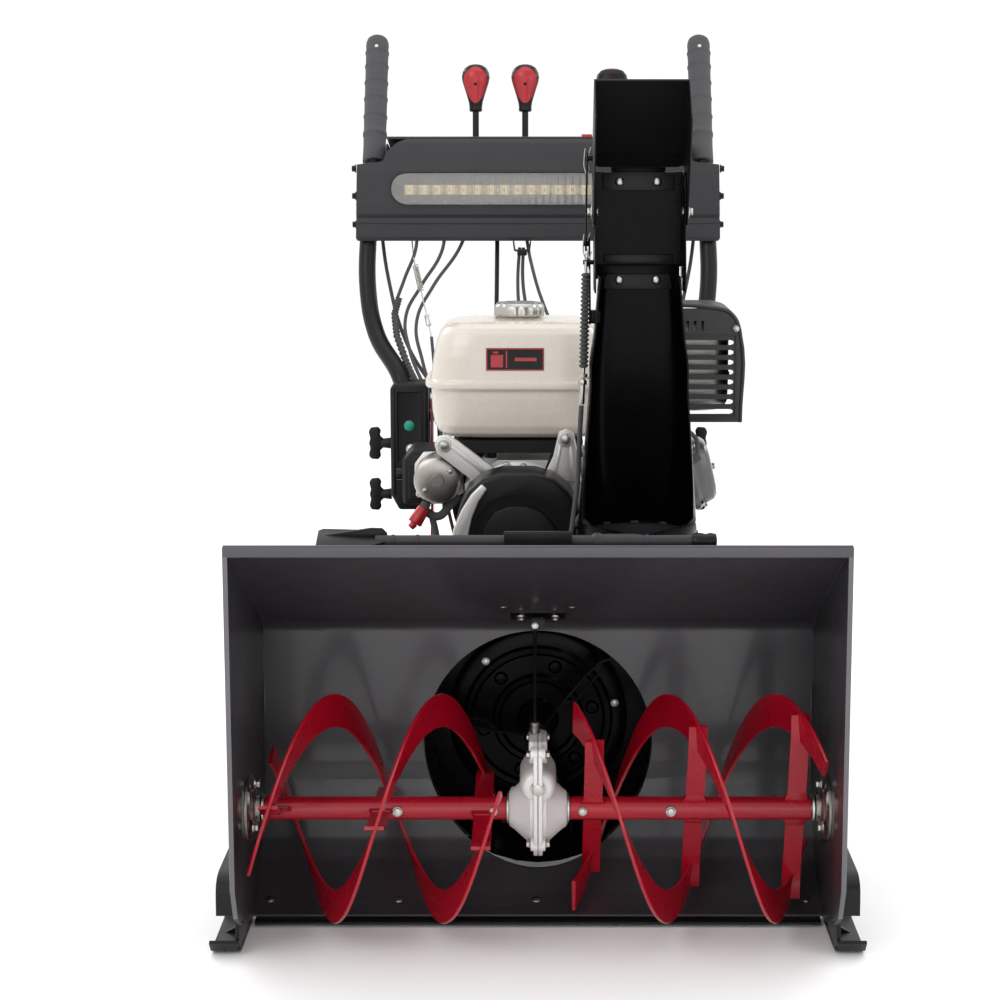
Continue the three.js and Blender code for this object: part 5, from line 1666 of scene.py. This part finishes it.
def build_switch():
    rocker = weld(plate("x", [
        (1019.4, 1016), (1038.6, 1016), (1038.6, 1025), (1030, 1026.6), (1022, 1033.6), (1019.4, 1032.6)
    ], 70.4, 87.6, 1.2, 3))
    done(rocker, "switch_rocker", "red ABS", "light_switch", "light_switch")


def lever_piece(x, stops, body, node, name):
    eye = drum((x - 6, *LEVER_PIVOT), (x + 6, *LEVER_PIVOT), 8.8, sides=36, edge=0.8)
    stalk = pipe([(x, 1062, 934), (x, 1062, 1000), (x, 1062, 1074)], 5.2, smooth=2, roundness=6)

    def place(u, v):
        radius, height, flat = between(stops, v)
        turn = 2 * math.pi * u
        return mm(x + radius * math.cos(turn), 1062 + radius * flat * math.sin(turn), 1070 + height)
    knob = sheet_of(48, 60, place)
    lean = about((0, *LEVER_PIVOT), -5.73, "X")
    done(reshape(weld(eye, stalk, knob), lean), name, "smooth black ABS", body, node, smooth=40)
    return lean


PEAR = [
    (0, 0, 1), (9, 0, 1), (10.6, 2, 1), (10.4, 8, 1), (11.4, 15, 1), (14.6, 26, 0.95), (18.4, 38, 0.9),
    (21.6, 48, 0.86), (22.9, 56, 0.84), (21.6, 64, 0.82), (17.6, 71, 0.8), (11, 75.4, 0.8), (5, 76.8, 0.8),
    (0, 77, 0.8)
]
OVAL = [
    (0, 8, 1), (7, 8, 1), (9, 12, 1), (13, 20, 0.9), (19, 30, 0.75), (24, 42, 0.66), (25.8, 52, 0.62),
    (24, 60, 0.6), (18, 66.6, 0.6), (10, 69.4, 0.6), (0, 70, 0.6)
]


def knob_at(height):
    """The pear knob's radius and flatness at a height."""
    for (r0, z0, f0), (r1, z1, f1) in zip(PEAR, PEAR[1:]):
        if z0 <= height <= z1 and z1 > z0:
            part = (height - z0) / (z1 - z0)
            return r0 + (r1 - r0) * part, f0 + (f1 - f0) * part
    return 0, 1


def build_levers():
    for x, word in ((SPEED_X, "speed"), (DEFLECTOR_X, "deflector")):
        lean = lever_piece(x, PEAR, f"{word}_lever", f"{word}_lever", f"{word}_lever_knob")
        def place(u, v):
            a, b = 2 * u - 1, 2 * v - 1
            a, b = a * math.sqrt(1 - b * b / 2), b * math.sqrt(1 - a * a / 2)
            height = 42 + 29 * b
            radius, flat = knob_at(height)
            turn = 1.02 * a
            return mm(
                x + (radius + 0.9) * math.sin(turn), 1062 - (radius * flat + 0.9) * math.cos(turn),
                1070 + height
            )
        inlay = sheet_of(28, 36, place, 1.2)
        done(reshape(inlay, lean), f"{word}_knob_inlay", "red ABS", f"{word}_lever", smooth=50)
        radius, flat = knob_at(44)
        dot = ball((x, 1062 - radius * flat - 0.6, 1114), 3.4, (1, 0.4, 1))
        done(reshape(dot, lean), f"{word}_knob_dot", "smooth black ABS", f"{word}_lever")
    lean = lever_piece(TURN_X, OVAL, "chute_lever", "chute_lever", "chute_lever_knob")
    mark = ball((TURN_X, 1060, 1137.4), 8, (1.3, 0.8, 0.36))
    done(reshape(mark, lean), "chute_knob_mark", "red ABS", "chute_lever")


# ------------------------------------------------------------------ cables and rods
def build_cables():
    done(pipe([
        (-67, 1052, 880), (-67, 1040, 840), (-68, 960, 700), (-70, 884, 560), (-72, 878, 420), (-72, 872, 344)
    ], 3.6, smooth=10), "shift_rod", "satin black coat")
    routes = {
        "chute_cable_a": [
            (-24, 1034, 850), (-25, 1026, 800), (-20, 1000, 760), (-4, 930, 690), (22, 860, 620),
            (78, 806, 570), (112, 700, 500), (118, 580, 440), (118, 500, 452), (120, 484, 466)
        ],
        "chute_cable_b": [
            (-30, 1034, 850), (-33, 1022, 800), (-30, 990, 750), (-14, 920, 680), (12, 850, 612),
            (64, 812, 560), (100, 700, 486), (104, 580, 432), (104, 498, 448), (108, 486, 464)
        ],
        "light_cable": [
            (-196, 1018, 882), (-200, 1020, 846), (-218, 1016, 800), (-232, 992, 752), (-222, 950, 700),
            (-190, 900, 640), (-160, 870, 590), (-140, 836, 560)
        ],
        "stop_cable": [
            (-150, 1018, 882), (-158, 1020, 842), (-190, 1010, 790), (-214, 985, 744), (-206, 940, 690),
            (-178, 890, 630), (-150, 850, 560)
        ],
        "speed_cable": [
            (-110, 1040, 900), (-128, 1030, 850), (-170, 1005, 790), (-196, 970, 736), (-184, 920, 672),
            (-160, 884, 600), (-150, 878, 480), (-120, 868, 346)
        ],
        "deflector_cable_upper": [
            (52, 444, 494), (60, 490, 500), (92, 560, 520), (112, 660, 556), (108, 800, 590), (60, 880, 660),
            (10, 960, 760), (-12, 1010, 830), (-18, 1030, 862)
        ],
    }
    for name, route in routes.items():
        done(pipe(route, 2.8, smooth=10, roundness=3), name, "rubber")
    sleeve_stops = [(0, 0)] + [(4.4 if i % 2 else 6.2, i / 48) for i in range(49)] + [(0, 1)]
    path = [
        Vector(p)
        for p in ((-226, 996, 770), (-233, 988, 745), (-228, 962, 712), (-212, 930, 674), (-196, 906, 642))
    ]

    def place(u, v):
        radius, share = between(sleeve_stops, v)
        spot = min(share * 4, 3.999)
        i = int(spot)
        here = path[i].lerp(path[i + 1], spot - i)
        aim = (path[i + 1] - path[i]).to_track_quat("Z", "Y")
        turn = 2 * math.pi * u
        return mm(*(here + aim @ Vector((radius * math.cos(turn), radius * math.sin(turn), 0))))
    done(sheet_of(16, 100, place), "harness_sleeve", "rubber")
    wire = pipe([
        (-206, 1030, 862), (-202, 1016, 830), (-192, 996, 790), (-180, 974, 744), (-172, 960, 710)
    ], 1.1, smooth=6)
    spring = coil((-200, 1012, 822), (-190, 992, 784), 4.2, 0.9, 12)
    nut = drum((-180, 974, 744), (-176, 966, 728), 4.6, sides=6, edge=0.4)
    lower = pipe([
        (-172, 960, 710), (-166, 930, 660), (-160, 900, 600), (-156, 884, 520), (-150, 878, 440)
    ], 2.6, smooth=8)
    done(weld(wire, spring, nut), "drive_wire_spring", "zinc plated steel")
    done(lower, "drive_wire_sheath", "rubber")


# ------------------------------------------------------------------ clean-out tool
def build_tool():
    shaft = drum((-200, 60, 541), (196, 60, 541), 7.8, sides=32, edge=1)
    rib = [drum((x, 60, 541), (x + 4, 60, 541), 8.6, sides=32, edge=0.8) for x in (-180, -150, 132)]
    rib.append(turned("x", [
        (0, 66), (8, 66), (10.6, 70), (10.6, 76), (8.6, 80), (9.4, 84), (9.4, 120), (8, 128), (0, 128)
    ], 60, 541, 0, 40))
    done(weld(shaft, *rib), "clean_out_shaft", "grey ABS", "clean_out_tool", "clean_out_tool")
    blade = plate("z", [
        (-272, 40), (-266, 35), (-210, 37), (-188, 50), (-188, 70), (-210, 83), (-266, 86), (-272, 81)
    ], 542, 545.6, 1.2)
    blade = reshape(blade, about((0, 60, 543.6), 17, "X"))
    spine = plate("y", [
        (-268, 542), (-262, 548), (-206, 556.4), (-192, 556), (-186, 550), (-184, 536), (-200, 536)
    ], 66, 72, 1)
    end = turned("x", [
        (0, 189), (8.4, 189), (10.4, 192), (10.8, 200), (9.4, 206), (10.8, 212), (9.4, 219), (0, 220.6)
    ], 60, 541, 0, 40)
    done(weld(blade, spine, end), "clean_out_blade", "smooth black ABS", "clean_out_tool")
    base = plate("x", [
        (44.4, 526), (44.4, 554), (46, 555.8), (49.4, 555.8), (50, 540), (51, 533), (54, 531.6), (66, 531.6),
        (69, 533), (70, 540), (70.6, 551.6), (74, 551.6), (75.6, 550), (75.6, 512.4)
    ], -41.6, 41.6, 0.8)
    done(base, "tool_clip_moulding", "smooth black ABS", "frame", "tool_clip")
    small = weld(folded("x", [(30, 536), (52, 525.4), (56, 526), (56, 545)], 96, 112, 2.4, 3, 0))
    done(small, "tool_rest_bracket", "grey powder coat")


# ------------------------------------------------------------------ stage
def build_stage(settings):
    deselect()
    bpy.ops.mesh.primitive_plane_add(size=60, location=(0, 10, -0.0005))
    floor = bpy.context.object
    floor.name = "studio_floor"
    material, tree, shader, where = start_finish("matt white floor")
    speck = add(tree, "ShaderNodeTexNoise", {"Vector": where, "Scale": per_mm(400), "Detail": 3.0})
    tone = add(tree, "ShaderNodeMix", {
        "Factor": speck.outputs["Fac"], "A": linear("fafafa"), "B": linear("ffffff")
    }, data_type="RGBA")
    tree.links.new(tone.outputs["Result"], shader.inputs["Base Color"])
    shader.inputs["Roughness"].default_value = 0.7
    shader.inputs["Specular IOR Level"].default_value = 0.2
    floor.data.materials.append(material)
    world = bpy.context.scene.world or bpy.data.worlds.new("studio")
    bpy.context.scene.world = world
    world.use_nodes = True
    sky = world.node_tree.nodes["Background"]
    sky.inputs["Color"].default_value = (1, 1, 1, 1)
    sky.inputs["Strength"].default_value = settings.sky
    for name, place, aim, size, power in (
        ("key", (-2.4, -3.6, 3.2), (0, -0.3, 0.5), 2.6, settings.key),
        ("fill", (3.2, -2.8, 1.8), (0, -0.2, 0.5), 2.4, settings.key * 0.45),
        ("top", (0, 0.2, 4.2), (0, 0, 0.4), 3.2, settings.key * 0.7),
        ("rim_left", (-2.6, 2.4, 2.6), (0, 0.2, 0.7), 1.6, settings.key * 0.5),
        ("rim_right", (2.8, 2.2, 2.4), (0, 0.2, 0.7), 1.6, settings.key * 0.5),
        ("front_low", (0, -4.4, 0.9), (0, -0.4, 0.35), 2.0, settings.key * 0.25),
    ):
        deselect()
        bpy.ops.object.light_add(type="AREA", location=place)
        lamp = bpy.context.object
        lamp.name = "lamp_" + name
        lamp.rotation_euler = (Vector(aim) - Vector(place)).to_track_quat("-Z", "Y").to_euler()
        lamp.data.size = size
        lamp.data.energy = power
    deselect()
    eye = mm(0, -2636.6, 1040)
    bpy.ops.object.camera_add(location=eye, rotation=(math.radians(90 - 9.42), 0, 0))
    camera = bpy.context.object
    camera.data.lens = settings.lens
    camera.data.sensor_width = 36
    camera.data.shift_x = -0.038
    bpy.context.scene.camera = camera
    bpy.context.scene.view_settings.view_transform = "Standard"


# ------------------------------------------------------------------ add-on
def colour(label, words, code):
    """A colour the user can change, its default given as sRGB hex."""
    return FloatVectorProperty(
        name=label, description=words, subtype="COLOR", size=4, min=0, max=1, default=linear(code)
    )


def length(label, words, millimetres):
    """A size the user can change, its default given in millimetres."""
    return FloatProperty(
        name=label, description=words, unit="LENGTH", precision=4, min=0.0005, max=0.05,
        default=millimetres / 1000
    )


class SNOWBLOWER_PG_colours(bpy.types.PropertyGroup):
    housing: colour("Housing", "Powder coat on the auger housing", "403e42")
    chute: colour("Chute", "Powder coat on the chute and the drum", "050506")
    augers: colour("Augers", "Powder coat on the augers and the chassis", "a80820")
    tank: colour("Fuel tank", "Enamel on the fuel tank", "d2cabf")
    panel: colour("Control panel", "Moulded plastic of the control panel", "2e2d30")
    knobs: colour("Knobs", "Red inlays of the levers and the starter boot", "b0121f")


class SNOWBLOWER_PG_sizes(bpy.types.PropertyGroup):
    chute_sheet: length("Chute sheet", "Thickness of the chute's lower channel", 2.2)
    strap: length("Strap", "Thickness of the straps that hold the ribbons", 4.6)
    diode_gap: length("Diode gap", "Distance between the diodes of the lamp strip", 11)


class SNOWBLOWER_PG_stage(bpy.types.PropertyGroup):
    sky: FloatProperty(
        name="Sky", description="Strength of the white surroundings", default=1.04, min=0, max=5
    )
    key: FloatProperty(
        name="Key light", description="Power of the main lamp in watts", default=55, min=0, max=1000
    )
    lens: FloatProperty(
        name="Lens", description="Focal length of the camera in millimetres", default=80.3, min=20, max=200
    )


def operator(idname, label, words, work):
    """Makes the operator that builds one group of pieces."""
    def execute(self, context):
        work()
        return {"FINISHED"}
    return type("SNOWBLOWER_OT_" + idname, (bpy.types.Operator,), {
        "__doc__": words, "bl_idname": "snowblower." + idname, "bl_label": label,
        "bl_options": {"REGISTER", "UNDO"}, "execute": execute
    })


class SNOWBLOWER_OT_stage(bpy.types.Operator):
    """Lays the floor, hangs the lamps and sets up the camera"""
    bl_idname = "snowblower.stage"
    bl_label = "Stage"

    def execute(self, context):
        build_stage(context.scene.snowblower_stage)
        return {"FINISHED"}


PIECES = [
    operator(
        "housing", "Auger Housing", "Bends the housing sheet, its lip and its side edges", build_housing
    ),
    operator(
        "housing_bolts", "Housing Bolts", "Fits the bolts of the housing and its sides", build_housing_bolts
    ),
    operator("scraper", "Scraper Bar", "Folds the scraper bar under the floor", build_scraper),
    operator("skids", "Skid Shoes", "Bends the two reversible skid shoes", build_skid_shoes),
    operator("bearings", "Auger Bearings", "Turns the flanged side bearings", build_bearings),
    operator("augers", "Augers", "Rolls the ribbons and folds their straps", build_augers),
    operator("gearbox", "Gearbox", "Casts the two gearbox halves and their bolts", build_gearbox),
    operator("stay", "Gearbox Stay", "Bends the stay rod and its foot", build_stay),
    operator("impeller", "Impeller", "Stamps the impeller disc and folds its paddles", build_impeller),
    operator("drum", "Impeller Drum", "Finishes the drum and its rims", build_drum),
    operator("chute", "Chute", "Rolls the lower channel and its ring", build_chute_lower),
    operator("deflectors", "Deflectors", "Folds the middle deflector and the hood", build_deflectors),
    operator("link", "Deflector Link", "Cuts the link bar and bends its clips", build_link),
    operator(
        "deflector_cable", "Deflector Cable", "Makes the cable bellows and adjuster", build_deflector_cable
    ),
    operator("tank", "Fuel Tank", "Presses the tank and its plain decal", build_tank),
    operator("cap", "Fuel Cap", "Makes the lobed cap", build_cap),
    operator("engine", "Engine", "Makes the fins, valve cover, lead and crankcase cover", build_engine),
    operator("brackets", "Tank Bracket", "Casts the tank bracket arms", build_brackets),
    operator("starter", "Starter Motor", "Turns the starter can and its boot", build_starter),
    operator("muffler", "Muffler", "Presses the muffler and its slotted guard", build_muffler),
    operator("belt_cover", "Belt Cover", "Moulds the arched belt cover", build_belt_cover),
    operator(
        "rear", "Engine Rear", "Moulds the recoil housing, its grip and the carburettor box", build_rear
    ),
    operator("chassis", "Chassis", "Finishes the chassis, its bolts and axle bearings", build_chassis),
    operator("wheels", "Wheels", "Makes the tyres, rims and hubs", build_wheels),
    operator(
        "handles", "Handlebars", "Bends the tubes and moulds the grips and clutch levers", build_handles
    ),
    operator(
        "bracket_covers", "Bracket Covers", "Moulds the bracket covers and wing knobs", build_bracket_covers
    ),
    operator("panel", "Control Panel", "Moulds the stepped panel", build_panel),
    operator("light", "Light", "Makes the ribbed lens and its diodes", build_light),
    operator("switch", "Light Switch", "Makes the rocker switch", build_switch),
    operator("levers", "Levers", "Makes the three levers and their knobs", build_levers),
    operator("cables", "Cables And Rods", "Runs the cables, the rod and the wire spring", build_cables),
    operator("tool", "Clean-out Tool", "Makes the clean-out tool and its clip", build_tool),
]


class SNOWBLOWER_PT_panel(bpy.types.Panel):
    bl_idname = "SNOWBLOWER_PT_panel"
    bl_label = "Snowblower"
    bl_space_type = "VIEW_3D"
    bl_region_type = "UI"
    bl_category = "Snowblower"

    def draw(self, context):
        column = self.layout.column(align=True)
        for piece in PIECES + [SNOWBLOWER_OT_stage]:
            column.operator(piece.bl_idname)
        for group in GROUPS:
            settings = getattr(context.scene, group)
            for name in settings.bl_rna.properties.keys():
                if name not in ("rna_type", "name"):
                    column.prop(settings, name)


GROUPS = {
    "snowblower_colours": SNOWBLOWER_PG_colours,
    "snowblower_sizes": SNOWBLOWER_PG_sizes,
    "snowblower_stage": SNOWBLOWER_PG_stage,
}
CLASSES = [*GROUPS.values(), SNOWBLOWER_OT_stage, *PIECES, SNOWBLOWER_PT_panel]


def register():
    for made in CLASSES:
        bpy.utils.register_class(made)
    for group, kind in GROUPS.items():
        setattr(bpy.types.Scene, group, PointerProperty(type=kind))


def unregister():
    for group in GROUPS:
        delattr(bpy.types.Scene, group)
    for made in reversed(CLASSES):
        bpy.utils.unregister_class(made)


def main():
    register()
    for piece in PIECES:
        getattr(bpy.ops.snowblower, piece.bl_idname.split(".")[1])()
    bpy.ops.snowblower.stage()


if __name__ == "__main__":
    main()
